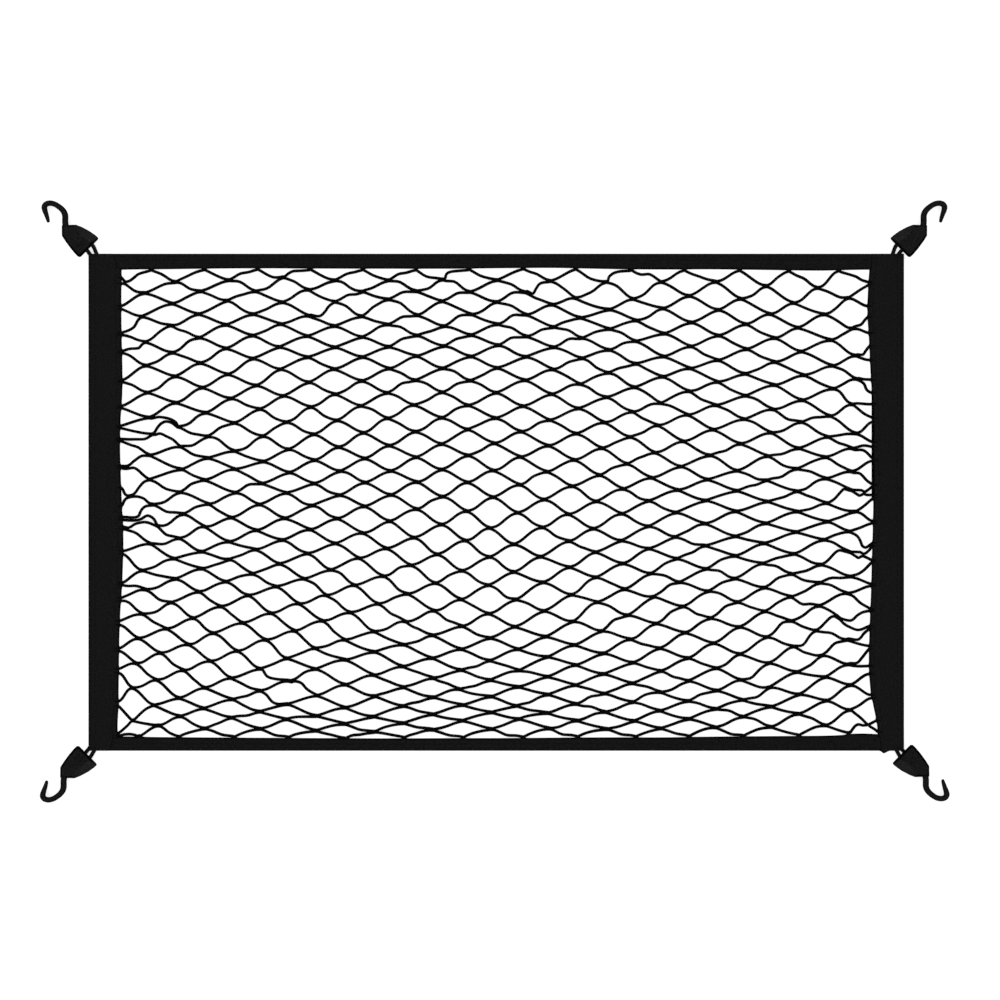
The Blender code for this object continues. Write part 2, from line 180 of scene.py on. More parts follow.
# Where a strand runs a little above or below an even curve: how far up it is pulled, and at which
# places, in millimetres right and down from a corner outside the net's top left.
PULLS_CORNER = (-495.0, 501.0)
PULL_SPREAD = 7.5
PULLS = {
    4.4: ((832, 645),),
    3.6: ((455, 285),),
    3.5: ((781, 626),),
    3.2: ((806, 280),),
    3.1: ((510, 340), (400, 385), (247, 486), (613, 624), (723, 607)),
    3: ((297, 285), (348, 297), (512, 318), (568, 341)),
    2.8: ((400, 284), (402, 306)),
    2.7: ((774, 280), (139, 449), (192, 507), (777, 567), (668, 587)),
    2.6: ((511, 293), (402, 318), (720, 575), (130, 604)),
    2.5: ((283, 280), (136, 471), (776, 580)),
    2.4: ((307, 292), (514, 327)),
    2.3: (
        (187, 342), (397, 275), (538, 275), (458, 318), (566, 362), (843, 393), (812, 420), (219, 429),
        (190, 486), (532, 480), (428, 503), (610, 470), (398, 570), (636, 461),
    ),
    2.2: (
        (240, 285), (236, 299), (240, 275.5), (170, 327.5), (620, 286), (456, 294), (138, 533),
        (136, 587), (669, 615), (831, 634), (643, 698), (730, 713),
    ),
    2.1: ((402, 328), (400, 340), (455, 341), (146, 523), (589, 698), (592, 708)),
    2: ((298, 294), (364, 291), (342, 575)),
    1.9: ((541, 332), (568, 333)),
    1.8: (
        (348, 309), (368, 312), (186, 331), (134, 386), (568, 293), (372, 309), (622, 345), (456, 372),
        (456, 386), (626, 292), (846, 371), (316, 586), (666, 576), (835, 543), (338, 602), (655, 592),
        (774, 603), (814, 720), (700, 698), (756, 722), (294, 281),
    ),
    1.7: ((457, 396), (832, 586)),
    1.6: ((346, 275.5), (158, 333), (402, 293), (512, 306), (718, 582)),
    1.5: ((304, 675),),
    1.4: (
        (162, 274.5), (130, 337), (132, 357), (413, 312), (560, 321), (403, 372), (454, 411), (537, 423),
        (864, 383), (758, 399), (220, 441), (272, 431), (612, 443), (446, 577), (617, 585), (812, 470),
        (718, 560), (830, 578), (612, 607), (448, 682), (432, 674), (404, 683), (376, 693),
    ),
    1.3: ((380, 330), (620, 334), (626, 333), (320, 590), (720, 597), (862, 613), (650, 690)),
    1.2: ((227, 301.5), (190, 358), (484, 383), (375, 410), (664, 565), (349, 283), (246, 286)),
    1.1: ((512, 284), (730, 411), (199, 529), (420, 672), (392, 680)),
    0.9: (
        (594, 335), (401, 399), (428, 385), (402, 423), (505, 422), (700, 277), (714, 279), (755, 424),
        (350, 474), (473, 428), (560, 480), (556, 467), (565, 427), (820, 623), (838, 660), (644, 685),
    ),
    0.8: ((214, 295),),
    -0.8: ((186, 276), (840, 655)),
    -0.9: (
        (372, 276), (484, 308), (400, 413), (670, 277), (645, 367), (646, 325), (820, 378), (300, 478),
        (302, 454), (302, 501), (460, 435), (500, 567), (395, 583), (625, 491), (622, 512), (477, 550),
        (783, 463), (842, 517), (640, 546), (240, 592), (282, 618), (304, 651), (276, 662), (366, 634),
        (468, 604), (580, 591), (618, 708), (782, 642), (644, 666),
    ),
    -1: ((214, 359), (268, 308), (757, 475), (188, 286)),
    -1.1: (
        (322, 401), (350, 388), (479, 277), (485, 374), (840, 294), (730, 342), (728, 389), (240, 568),
        (270, 568), (296, 549), (634, 518), (240, 705), (416, 731), (676, 732),
    ),
    -1.2: (
        (318, 364), (598, 391), (425, 425), (236, 600), (190, 722), (476, 633), (700, 661), (816, 656),
        (166, 436),
    ),
    -1.3: (
        (607, 371), (628, 365), (628, 406), (762, 369), (193, 454), (266, 580), (160, 587), (862, 527),
        (660, 507), (690, 530), (748, 530), (864, 567), (203, 625), (144, 686), (222, 722), (222, 733),
        (342, 734), (388, 628), (620, 691), (450, 733), (728, 661),
    ),
    -1.4: (
        (188, 287), (312, 318), (245, 403), (295, 415), (320, 390), (436, 306), (433, 333), (580, 383),
        (620, 404), (430, 398), (838, 303), (757, 332), (246, 434), (244, 556), (222, 563), (397, 527),
        (533, 519), (475, 580), (784, 429), (812, 507), (330, 646), (748, 605), (860, 702), (640, 643),
        (487, 681),
    ),
    -1.6: (
        (588, 278), (758, 356), (190, 475), (326, 491), (709, 621), (685, 683), (763, 669), (764, 693),
    ),
    -1.7: ((300, 431), (802, 578), (276, 731), (622, 732), (804, 649), (672, 685), (732, 732)),
    -1.8: (
        (174, 280.5), (350, 286), (160, 360), (270, 332), (272, 415), (533, 298), (646, 291), (640, 416),
        (651, 316), (702, 353), (700, 397), (248, 446), (166, 499), (156, 567), (328, 512), (484, 449),
        (555, 534), (578, 546), (645, 431), (838, 461), (787, 498), (638, 495), (692, 543), (693, 551),
        (810, 589), (152, 620), (144, 673), (172, 660), (248, 714), (398, 588), (420, 615), (520, 602),
        (420, 640), (519, 671), (372, 731), (806, 592), (803, 611), (802, 600), (203, 440),
    ),
    -2: ((160, 386), (322, 413), (809, 640), (161, 529)),
    -2.2: (
        (268, 286.5), (190, 421), (787, 417), (660, 403), (163, 488), (216, 508), (164, 541), (250, 577),
        (784, 455), (757, 482), (808, 489), (808, 569), (208, 596), (230, 610), (248, 693), (360, 731),
        (412, 623), (478, 665), (476, 682), (531, 702), (420, 704), (507, 732), (562, 731), (801, 623),
        (272, 697),
    ),
    -2.3: ((431, 286), (595, 290), (755, 292), (848, 330), (190, 434), (838, 440)),
    -2.5: ((166, 531),),
    -2.6: (
        (425, 277), (166, 510), (158, 598), (157, 608), (300, 637), (332, 628), (168, 728), (446, 617),
        (506, 594), (696, 611), (810, 660), (672, 675),
    ),
    -2.7: ((595, 366), (194, 443), (727, 449), (782, 475), (390, 610)),
    -3: ((170, 522), (190, 676), (757, 693)),
    -3.4: ((799, 602),),
    -3.5: ((752, 673),),
    -4: ((805, 640),),
}

# How far the knots have drifted from an even net, a row for each fourth row of knots.
# Each row holds its number and the drift at each of these columns.
STATIONS = (1, 5, 9, 13, 17, 21, 26)
DRIFT_RIGHT = (
    (0, 3, 2, 0, -1, 0, 3, -2),
    (4, -4, -1, 0, 2, 4, 7, 10),
    (8, 0, -2, 0, 1, 5, 6, 14),
    (12, 2, 5, -1, -1, 1, 3, 11),
    (16, 5, 9, 3, -2, -2, -4, 7),
    (20, 11, 5, 3, -2, -8, -8, 10),
    (24, 6, 1, -3, -7, -7, -7, 4),
    (28, 1, -6, -12, -8, -4, -2, 0),
    (32, -8, -17, -16, -8, -1, 4, 1),
    (36, -13, -22, -17, -7, -1, 4, 8),
    (40, -8, -21, -17, -7, 4, 4, 7),
)
DRIFT_UP = (
    (0, 0, 0, 0, 0, 0, 0, 0),
    (4, -1, 2, -1, 1, -2, -7, -12),
    (8, -3, 4, 5, 6, 4, -6, -15),
    (12, -8, 0, 3, 4, 1, -6, -16),
    (16, 1, -5, -3, 0, -4, -11, -12),
    (20, -1, -1, -4, -8, -11, -9, -9),
    (24, 6, 0, -9, -21, -17, -9, -2),
    (28, 8, 1, -16, -29, -25, -10, 3),
    (32, 5, -8, -17, -27, -22, -14, 1),
    (36, 3, -9, -17, -14, -13, -10, 2),
    (40, 0, 0, 0, 0, 0, 0, 0),
)
# The heights at which the strands are sewn into the side bands, from the top strand down.
LEFT_ENDS = (
    (223.5, 217.7, 195, 192, 168, 166, 150, 148, 121, 119),
    (95, 93, 75, 73, 62, 60, 35, 33, 13.5, -5),
    (-16, -19, -25.5, -28, -50, -53, -82, -84, -97, -100),
    (-120, -124, -147.5, -150, -168, -172, -200.5, -205, -233, -234.5),
)
RIGHT_ENDS = (
    (218.8, 216.3, 195, 184, 168, 155, 141, 121, 108, 97),
    (83, 79, 59, 54, 42, 40, 16, 15.2, 6, 3),
    (-20, -22, -42, -45, -59, -61, -83, -85, -108, -110),
    (-125, -128, -145, -148, -165, -173, -194, -197, -230.9, -219.6),
)
# The knots nearest to each side band, which hang the most unevenly: row, left x, y, right x, y.
OUTER_KNOTS = (
    (2, -349, 208, 354, 203.5), (4, -352.5, 184.5, 358, 174), (6, -349, 159, 361, 145.5),
    (8, -348, 135.5, 362, 121.5), (10, -346.5, 108.5, 358, 96.5), (12, -345.5, 83.5, 362, 67.5),
    (14, -342, 67, 358, 52.5), (16, -344.5, 45.5, 357, 29.5), (18, -345, 21.5, 357.5, 10.5),
    (20, -340.5, -3.5, 361.5, -10.5), (22, -337, -23.5, 355, -30.5), (24, -343.5, -43, 356, -51.5),
    (26, -351.5, -69.5, 356.5, -75.5), (28, -348, -89, 353.5, -92.5), (30, -351.5, -113, 345.5, -118),
    (32, -355.5, -137.5, 352, -139), (34, -358, -162.5, 353.5, -163.5), (36, -361.5, -187, 356.5, -184),
    (38, -362, -219.5, 355.5, -209),
)
# Knots that hang away from the smooth drift: column, row, how far right and how far up.
NUDGES = (
    (17, 0, -2, 0), (19, 0, -2, 0), (21, 0, -4, 0), (23, 0, -1, 0), (25, 0, -3, 0), (27, 0, -5.5, 0),
    (2, 7, 0, -2), (3, 8, 0, -2), (4, 9, 0, -1.5), (5, 10, 0, -2), (8, 3, -1, 2.5), (10, 3, -0.5, 5),
    (11, 2, 1, 1.5), (12, 3, -2, 3), (10, 5, -1, 2), (14, 3, -2, 1), (14, 5, -1.5, 1.5),
    (17, 2, -4.5, -5), (18, 3, 1, -3), (19, 2, -1, -5), (23, 2, -2, -2.5), (24, 1, -1, -3),
    (25, 2, -3, -5.5), (26, 1, -2, -4), (24, 3, -2, -2), (26, 3, -2, -1.5), (25, 4, -4, -1.5),
    (25, 6, -2, 0), (22, 7, 0, -2), (23, 8, -2, -2), (20, 7, 0, -2.5), (26, 11, -1, -2.5),
    (4, 15, -2, -2.5), (4, 17, -2, 2), (3, 18, -5, 2), (2, 19, -4, 0), (4, 21, -2, -2.5), (3, 22, -2, -2),
    (2, 23, -1, -3), (4, 23, -1.5, -5), (3, 24, -2, -5), (2, 25, -4, -3), (5, 22, -1, -4), (6, 21, 0, -2),
    (15, 22, -2.5, -3), (14, 21, -2, -2), (15, 24, -2, -1.5), (16, 23, -3, -2), (18, 21, -1, -2),
    (19, 22, 0, -2), (18, 25, -1, 2), (20, 21, 0, -2), (21, 22, -1.5, -2), (23, 22, 0, -3),
    (23, 16, -1, -3), (24, 25, -2, 2), (26, 23, -1, 2.5), (26, 25, -1, -2), (26, 19, -2, -1.5),
    (25, 14, 0, -2), (4, 31, -1, 2), (2, 33, -2, 2), (2, 35, -3, -2), (4, 35, -3, -2), (5, 34, -3, -1),
    (3, 36, -4, -4), (2, 37, -6, -3.5), (3, 38, -3, 0), (4, 37, -4, -1.5), (2, 39, -2, 1.5),
    (4, 39, -3, -1), (5, 38, -2, 1.5), (3, 40, -7, 0), (6, 33, -2.5, -2), (7, 32, -3.5, -2),
    (8, 33, -2, 1.5), (8, 31, -4, -2), (9, 30, -3, -3), (7, 38, -1, 3), (10, 29, -2, -3),
    (15, 28, -3, -1), (13, 34, -3, -1.5), (15, 36, -4, -1.5), (15, 38, -2, 1.5), (18, 27, -2, 3),
    (22, 33, 0, -2), (23, 32, -1, -2.5), (24, 33, 0, -2), (23, 34, -2, -5), (24, 35, -1, -4),
    (22, 35, 1, -2), (23, 36, -1, -3.5), (24, 37, 0, -2.5), (25, 34, 0, -3), (25, 36, 0, -3),
    (26, 31, -3, 0), (17, 40, -4, 0), (27, 40, -5.5, 0),
)
# Knots drawn out long, where two strands run twisted together: column, row, half length, and lean
# in degrees.
LONG_KNOTS = (
    (27, 18, 8.5, -17), (27, 24, 9, -16), (27, 30, 5, -33), (1, 14, 2, 18),
)
# Bends of slack strands between two knots: the strand, the column before, and its places.
SLACK = (
    (0, 0, (-372, 221.5), (-369.5, 219.3), (-365, 220.5), (-361, 223.5), (-356.5, 227)),
    (0, 6, (-206.5, 226), (-202.5, 229), (-195, 230)),
    (0, 12, (-48.5, 227), (-45, 229), (-37.5, 230)),
    (0, 18, (114, 224), (118, 227.5), (123.5, 229.3), (130, 230)),
    (0, 19, (141.5, 228), (146.5, 226.5), (153.5, 227), (156.5, 226)),
    (0, 27, (361, 224.5), (365, 222), (368, 220.5), (371, 219.7)),
    (1, 0, (-371, 217.3), (-368.5, 216), (-364.5, 213), (-361, 210.5), (-356.5, 209)),
    (1, 27, (366.5, 212), (372.5, 215.5)),
    (4, 0, (-366.5, 170), (-361, 174), (-357, 181)),
    (6, 0, (-371, 150.3), (-366.5, 151.5), (-356.5, 152.8), (-353.5, 156)),
    (12, 1, (-336, 84), (-325, 82), (-319, 78.5)),
    (13, 0, (-355, 68.5)),
    (13, 1, (-338, 73), (-334, 77.5), (-329, 79.5), (-323, 78)),
    (14, 0, (-364, 61.5), (-351, 61.5)),
    (14, 1, (-335, 68), (-330, 66.5), (-323, 62.5)),
    (16, 0, (-366.5, 35), (-361, 39.5), (-354, 44)),
    (17, 0, (-369.5, 31.8), (-365, 31.5), (-361, 30.8)),
    (17, 27, (369.4, 9.4), (371, 9.7), (373.8, 11.6)),
    (18, 0, (-372, 11), (-370.5, 7.5), (-368.5, 5.7), (-365, 5.7), (-361, 7.2), (-355, 15), (-351, 19)),
    (18, 27, (368.8, 7), (371.9, 6.1)),
    (19, 0, (-371, 0), (-368, 3), (-359, 4.5), (-351.5, 2.5), (-346, -2)),
    (20, 0, (-357.5, -16), (-354, -9.5), (-350, -5.5)),
    (21, 0, (-354.5, -19.5), (-347.5, -15.5), (-341, -18.5)),
    (22, 0, (-366, -27), (-359, -23.5)),
    (37, 0, (-371, -211), (-366, -216.5)),
    (37, 1, (-355, -213), (-349, -208)),
    (38, 0, (-368, -225)),
    (38, 1, (-351, -222.5), (-340, -224)),
    (39, 0, (-375, -234.6), (-371, -233.6), (-366, -233.2), (-361, -233.8), (-357, -235.3)),
    (33, 6, (-228, -175.4), (-219.5, -178)),
    (34, 7, (-200.7, -180.4), (-193.6, -182.6), (-188, -188.3)),
    (35, 6, (-228, -193.3), (-222, -199.7), (-216.4, -202.6)),
    (3, 7, (-175, 185.5), (-170, 189.5), (-166.5, 194.5)),
    (1, 15, (38, 208.5), (41, 212.5), (45, 217)),
    (3, 27, (366, 176.5), (369.5, 180.5)),
    (5, 27, (368, 146.5), (371, 150.5)),
    (7, 27, (369, 120.5)),
    (8, 27, (369, 116), (372, 110.5)),
    (10, 27, (369, 87.5)),
    (13, 27, (369, 55.5)),
    (14, 27, (369, 50.5)),
    (16, 27, (365, 27.5), (372, 20.5)),
    (18, 26, (339.4, 2), (344, 7), (347.5, 10.8)),
    (19, 27, (369, -5)),
    (21, 27, (369, -24)),
    (22, 27, (362, -34.5), (365.5, -40), (367.5, -45), (371, -46.5)),
    (23, 27, (369, -52.8), (373.5, -50)),
    (24, 27, (367.5, -55), (373, -57)),
    (25, 27, (363.5, -72.5)),
    (28, 27, (358, -95), (366.5, -103)),
    (29, 27, (356.5, -119.5), (363.5, -114.5)),
    (30, 27, (353.5, -125.5), (363.5, -129)),
    (31, 27, (363.5, -138.5), (369.5, -132)),
    (32, 27, (366, -143.5)),
    (33, 27, (362, -162), (366.5, -157.5)),
    (38, 27, (359, -211.5), (363.5, -215), (367.5, -218.5), (371.5, -222.5),
     (375.8, -226), (380, -228.5)),
    (39, 27, (355, -232), (357.5, -228.5), (360, -225.3), (363.5, -223.5),
     (368.5, -224.5), (374.2, -223.3)),
)

# ---------------- hook and loop tables

# The top left hook, from the frame's corner beside it: its rim x and y, and its top x and y.
BELL_OUTLINE = (
    (-27.2, 29.4, -24.8, 27.4), (-27.1, 18.9, -25, 19.6), (-23.5, 13.2, -21.6, 14.5),
    (-18.4, 6.2, -16.5, 7.7), (-13.2, 0.1, -11.4, 1.9), (-10.7, -2.3, -9.4, 0.2), (-8.4, -2.2, -7.8, 0.3),
    (8.9, 15.2, 2, 10.3), (9.2, 16.9, 1.4, 12), (6.4, 19.4, -0.6, 13.8), (0.7, 23.5, -4.4, 17),
    (-7, 27.6, -10.4, 22.9), (-13, 29.9, -14.8, 27), (-21, 29.6, -20.6, 27.8),
)
BELL_LEVELS = (0.02, 0.8, 4.0)
BELL_FOOT_INSET = 0.96
BELL_HIGH_AT_MOUTH = 10.4
BELL_HIGH_AT_NECK = 8.4
BELL_LONG = 34.0
BELL_ROUND = 1.0
BELL_ROUND_STEPS = 4
BELL_ROUND_ANGLE = 14.0  # flatter edges than this aren't rounded
HOOK_SHARP = 38.0
GRAINED_SIDE = range(8, 12)  # the wide side of the bell, by its outline's points
# x, y and radius along the cane.
HOOK_WIRE = (
    (-40.3, 32, 0.9), (-40.5, 32.9, 1.55), (-41.2, 35.8, 1.95), (-42.6, 40.2, 2.35), (-44, 44.4, 2.75),
    (-44.4, 47.6, 2.95), (-42.8, 50.2, 2.9), (-39.2, 51.3, 2.8), (-34.6, 50.5, 2.75), (-29.8, 47.7, 2.8),
    (-25.7, 43.8, 2.95), (-23.7, 39, 3.1), (-23.5, 31, 3.1), (-21.5, 22, 3.1),
)
WIRE_HEIGHT = 4.6
WIRE_SIDES = 20
WIRE_STEPS = 6
CORD_RADIUS = 2.05
CORD_SIDES = 14
CORD_STEPS = 5
LOOP_CENTRE = (-3.5, 11.1)
LOOP_TURN = 3.35
LOOP_HIGH_IN_BELL = 3.7
LOOP_HIGH_AT_BAND = 1.3
LOOP_PRESSED = 0.45  # how flat it lies between the layers of webbing
LOOP_EDGE = 1.4  # the frame's soft edge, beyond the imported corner
LOOP_SEWN = -4.5  # the cord's ends, inside the frame's edge
LOOP_LEG = 3.5
LOOP_STRAIGHT = 7.5  # how far out the outer strand keeps its way before it bends to the band
LOOP_BEND_STEPS = 6
POCKET_SPARE = 0.35
POCKET_DEEP = 6.0
POCKET_OUT = 12.0
POST_GAP = 0.3
POST_LOW = 1.0
POST_HIGH = 6.6

# Each hook, how far it has slid along the frame's corner, where the outer and the inner end of its
# loop are sewn in, and how far the outer strand bows.
Hook = namedtuple("Hook", "name side end slid_x slid_y outer inner bow")
HOOKS = (
    Hook("top_left", LEFT, TOP, 0.0, 0.0, 9.6, 4.4, 0.2),
    Hook("top_right", RIGHT, TOP, -3.7, 0.0, 12.6, 8.9, 0.2),
    Hook("bottom_left", LEFT, BOTTOM, -1.6, 1.5, 8.0, 2.4, -0.8),
    Hook("bottom_right", RIGHT, BOTTOM, -1.5, 2.7, 9.4, 5.0, -1.2),
)

# ---------------- colours

BAND_BLACK = (0.0078, 0.0078, 0.0079, 1.0)
BAND_DARKER = (0.0034, 0.0034, 0.0035, 1.0)
STRAND_BLACK = (0.0006, 0.0006, 0.0007, 1.0)
STRAND_PALER = (0.0022, 0.0022, 0.0023, 1.0)
LOOP_PALER = (0.0120, 0.0120, 0.0122, 1.0)
THREAD_BLACK = (0.0090, 0.0090, 0.0092, 1.0)
HOOK_BLACK = (0.0020, 0.0020, 0.0021, 1.0)
HOOK_SCUFFED = (0.0080, 0.0080, 0.0082, 1.0)
GRAIN_BLACK = (0.0075, 0.0075, 0.0076, 1.0)
GRAIN_SCUFFED = (0.0190, 0.0190, 0.0193, 1.0)
FLOOR_WHITE = (0.35, 0.35, 0.35, 1.0)
WHITE = (1.0, 1.0, 1.0, 1.0)


# ---------------- small helpers


def smooth_through(places, values, at):
    """A smooth curve through values at uneven places, read at one place."""
    at = min(max(at, places[0]), places[-1])
    right = 1
    while places[right] < at:
        right += 1
    left = right - 1
    span = places[right] - places[left]
    t = (at - places[left]) / span

    def slope(k):
        before = max(k - 1, 0)
        after = min(k + 1, len(places) - 1)
        return (values[after] - values[before]) / (places[after] - places[before])

    return (
        (2 * t**3 - 3 * t**2 + 1) * values[left]
        + (t**3 - 2 * t**2 + t) * span * slope(left)
        + (3 * t**2 - 2 * t**3) * values[right]
        + (t**3 - t**2) * span * slope(right)
    )


def read_column(table, column, at):
    """One column of a table, read smoothly at a place in its first column."""
    return smooth_through([row[0] for row in table], [row[column] for row in table], at)


def curve_points(rows, steps):
    """Rows of numbers read smoothly, with some steps between each two rows."""
    places = range(len(rows))
    columns = list(zip(*rows))
    count = (len(rows) - 1) * steps
    return [
        [smooth_through(places, column, k / steps) for column in columns]
        for k in range(count + 1)
    ]


class Parts:
    """Vertices, faces and lengthwise coordinates of many small forms, gathered into one mesh."""

    def __init__(self):
        self.points = []
        self.faces = []
        self.along = []

    def tube(self, path, sides):
        """A closed round bar along points of (x, y, z, radius) and, if pressed, its flatness."""
        path = np.asarray(path, float)
        centres = path[:, :3]
        radii = path[:, None, 3:4]
        flatness = path[:, 4:5] if path.shape[1] > 4 else 1.0
        ahead = np.vstack([centres[1:], centres[-1:]])
        behind = np.vstack([centres[:1], centres[:-1]])
        forward = ahead - behind
        forward /= np.linalg.norm(forward, axis=1, keepdims=True)
        across = np.stack([-forward[:, 1], forward[:, 0], np.zeros(len(path))], axis=1)
        across /= np.linalg.norm(across, axis=1, keepdims=True)
        up = np.cross(forward, across) * flatness
        turns = 2 * math.pi * (np.arange(sides)[:, None] + 0.5) / sides
        spread = across[:, None] * np.cos(turns) + up[:, None] * np.sin(turns)
        rings = np.arange(len(path) * sides).reshape(-1, sides) + len(self.points)
        beside = np.roll(rings, -1, axis=1)
        walls = np.stack([rings[:-1], beside[:-1], beside[1:], rings[1:]], axis=2)
        self.faces += [*walls.reshape(-1, 4).tolist(), rings[0, ::-1].tolist(), rings[-1].tolist()]
        self.points += [*(centres[:, None] + spread * radii).reshape(-1, 3)]
        steps = np.linalg.norm(np.diff(centres, axis=0), axis=1)
        travelled = np.concatenate([[0.0], np.cumsum(steps)])
        self.along += [(far, side / sides) for far in travelled for side in range(sides)]

    def build(self, name, material):
        mesh = bpy.data.meshes.new(name)
        mesh.from_pydata([tuple(point * MM) for point in self.points], [], self.faces)
        layer = mesh.uv_layers.new(name="along")
        corners = np.zeros(len(mesh.loops), np.int32)
        mesh.loops.foreach_get("vertex_index", corners)
        layer.data.foreach_set("uv", np.asarray(self.along, np.float32)[corners].ravel())
        return finish_object(name, mesh, material)


def one_tube(name, path, sides, material):
    parts = Parts()
    parts.tube(path, sides)
    return parts.build(name, material)


def finish_object(name, mesh, material):
    mesh.materials.append(material)
    mesh.shade_smooth()
    thing = bpy.data.objects.new(name, mesh)
    bpy.context.scene.collection.objects.link(thing)
    return thing


def from_bmesh(name, bm, material):
    bmesh.ops.scale(bm, vec=(MM, MM, MM), verts=bm.verts)
    bmesh.ops.recalc_face_normals(bm, faces=bm.faces)
    mesh = bpy.data.meshes.new(name)
    bm.to_mesh(mesh)
    bm.free()
    return finish_object(name, mesh, material)


def settle(thing):
    """Apply an object's modifiers, so that its mesh is its final one."""
    graph = bpy.context.evaluated_depsgraph_get()
    mesh = bpy.data.meshes.new_from_object(thing.evaluated_get(graph))
    thing.modifiers.clear()
    thing.data = mesh
    return thing


def place(thing, slot, *nodes):
    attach(thing, "root")
    if nodes:
        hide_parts(*nodes)
    return thing


# ---------------- materials

WAVE_TURN = 0.31416  # a wave texture at scale 1 repeats after this length
RIB_PITCH = 1.7  # millimetres, as the cloth's coordinates are
WEFT_PITCH = 0.9
STRAND_BRAID = 2.2
LOOP_BRAID = 2.8
FINE_GRAIN = 0.00012
COARSE_GRAIN = 0.0003
# Darker lines along the bands: their place, half their flat width, where they end, and their shade. The
# first row of each table, at the band's edge, is painted shade where the rounded edge falls away; the
# others are darker lines along the cloth.
SELVEDGE_LINES_AND_EDGE_SHADE = ((0.0, 0.7, 1.2, 0.05), (2.7, 0.0, 0.6, 0.7), (6.6, 0.0, 0.6, 0.72))
HEM_LINES_AND_EDGE_SHADE = ((0.0, 0.9, 1.5, 0.05), (1.9, 0.0, 0.6, 0.7), (5.6, 0.0, 0.6, 0.72))
LEAN_LOW = 0.5  # a face that leans more than this gets the deepest painted shade
LEAN_HIGH = 0.95


class Look:
    """A material in the making. What a method adds ends in the socket that it gives back."""

    def __init__(self, name, colour, roughness, specular):
        self.material = bpy.data.materials.new(name)
        self.material.use_nodes = True
        self.tree = self.material.node_tree
        self.shader = self.tree.nodes["Principled BSDF"]
        inputs = {"Base Color": colour, "Roughness": roughness, "Specular IOR Level": specular}
        self.fill(self.shader, inputs)

    def fill(self, node, inputs):
        """Give each input its value, or link it to a socket. Keys are names or numbers."""
        for key, value in inputs.items():
            if isinstance(value, bpy.types.NodeSocket):
                self.tree.links.new(value, node.inputs[key])
            else:
                node.inputs[key].default_value = value

    def add(self, kind, output, inputs=None, **settings):
        """One of a node's outputs, once its settings and inputs are made."""
        node = self.tree.nodes.new("ShaderNode" + kind)
        for key, value in settings.items():
            setattr(node, key, value)
        self.fill(node, inputs or {})
        return node.outputs[output]

    def math(self, operation, *values):
        return self.add("Math", "Value", dict(enumerate(values)), operation=operation)

    def axis(self, vector, letter):
        return self.add("SeparateXYZ", letter, {"Vector": vector})

    def coordinates(self, layer):
        return self.add("UVMap", "UV", uv_map=layer)

    def speckle(self, scale, detail=3.0):
        spot = self.add("TexCoord", "Object")
        return self.add("TexNoise", "Fac", {"Vector": spot, "Scale": scale, "Detail": detail})

    def wave(self, vector, scale, direction, distortion):
        inputs = {"Vector": vector, "Scale": scale, "Distortion": distortion}
        return self.add("TexWave", "Fac", inputs, wave_type="BANDS", bands_direction=direction)

    def spread(self, value, low, high, to_low=0.0, to_high=1.0):
        """A value between two bounds, spread over two others."""
        inputs = {"Value": value, "From Min": low, "From Max": high}
        return self.add("MapRange", "Result", {**inputs, "To Min": to_low, "To Max": to_high})

    def ramp(self, factor, first, second, low=0.35, high=0.65):
        """One colour up to a low factor, and another from a high one on."""
        colour = self.add("ValToRGB", "Color", {"Fac": factor})
        start, end = colour.node.color_ramp.elements
        start.position = low
        start.color = first
        end.position = high
        end.color = second
        return colour

    def shaded(self, colour, factor, shade, low=0.0, high=1.0):
        """A colour that darkens to a share of itself where a factor falls from high to low."""
        share = self.ramp(factor, (shade, shade, shade, 1.0), WHITE, low, high)
        inputs = {"Factor": 1.0, "A": colour, "B": share}
        return self.add("Mix", "Result", inputs, data_type="RGBA", blend_type="MULTIPLY")

    def darken_lines(self, colour, distance, lines):
        """Thin darker lines along the cloth at set distances, in millimetres, from its edge; a line at
        the edge itself is painted shade.
        """
        for line, flat, fade, shade in lines:
            away = self.math("SUBTRACT", self.axis(distance, "X"), line)
            beyond = self.spread(self.math("ABSOLUTE", away), flat, fade)
            colour = self.shaded(colour, beyond, shade)
        return colour

    def paint_shade_on_leaning(self, colour, shade, gloss):
        """Painted shade: darker, and less glossy, where the surface leans away from level, as on rounded
        edges and sides.
        """
        level = self.math("ABSOLUTE", self.axis(self.add("NewGeometry", "Normal"), "Z"))
        polish = self.spread(level, LEAN_LOW, LEAN_HIGH, to_high=gloss)
        self.fill(self.shader, {"Specular IOR Level": polish})
        return self.shaded(colour, level, shade, LEAN_LOW, LEAN_HIGH)

    def bump(self, heights, distance, strength=1.0):
        """Chains a bump for each height, with its share of the distance, into the normal."""
        normal = {}
        for height, share in heights:
            inputs = {"Height": height, "Distance": distance * share, "Strength": strength}
            normal = {"Normal": self.add("Bump", "Normal", {**inputs, **normal})}
        self.fill(self.shader, normal)


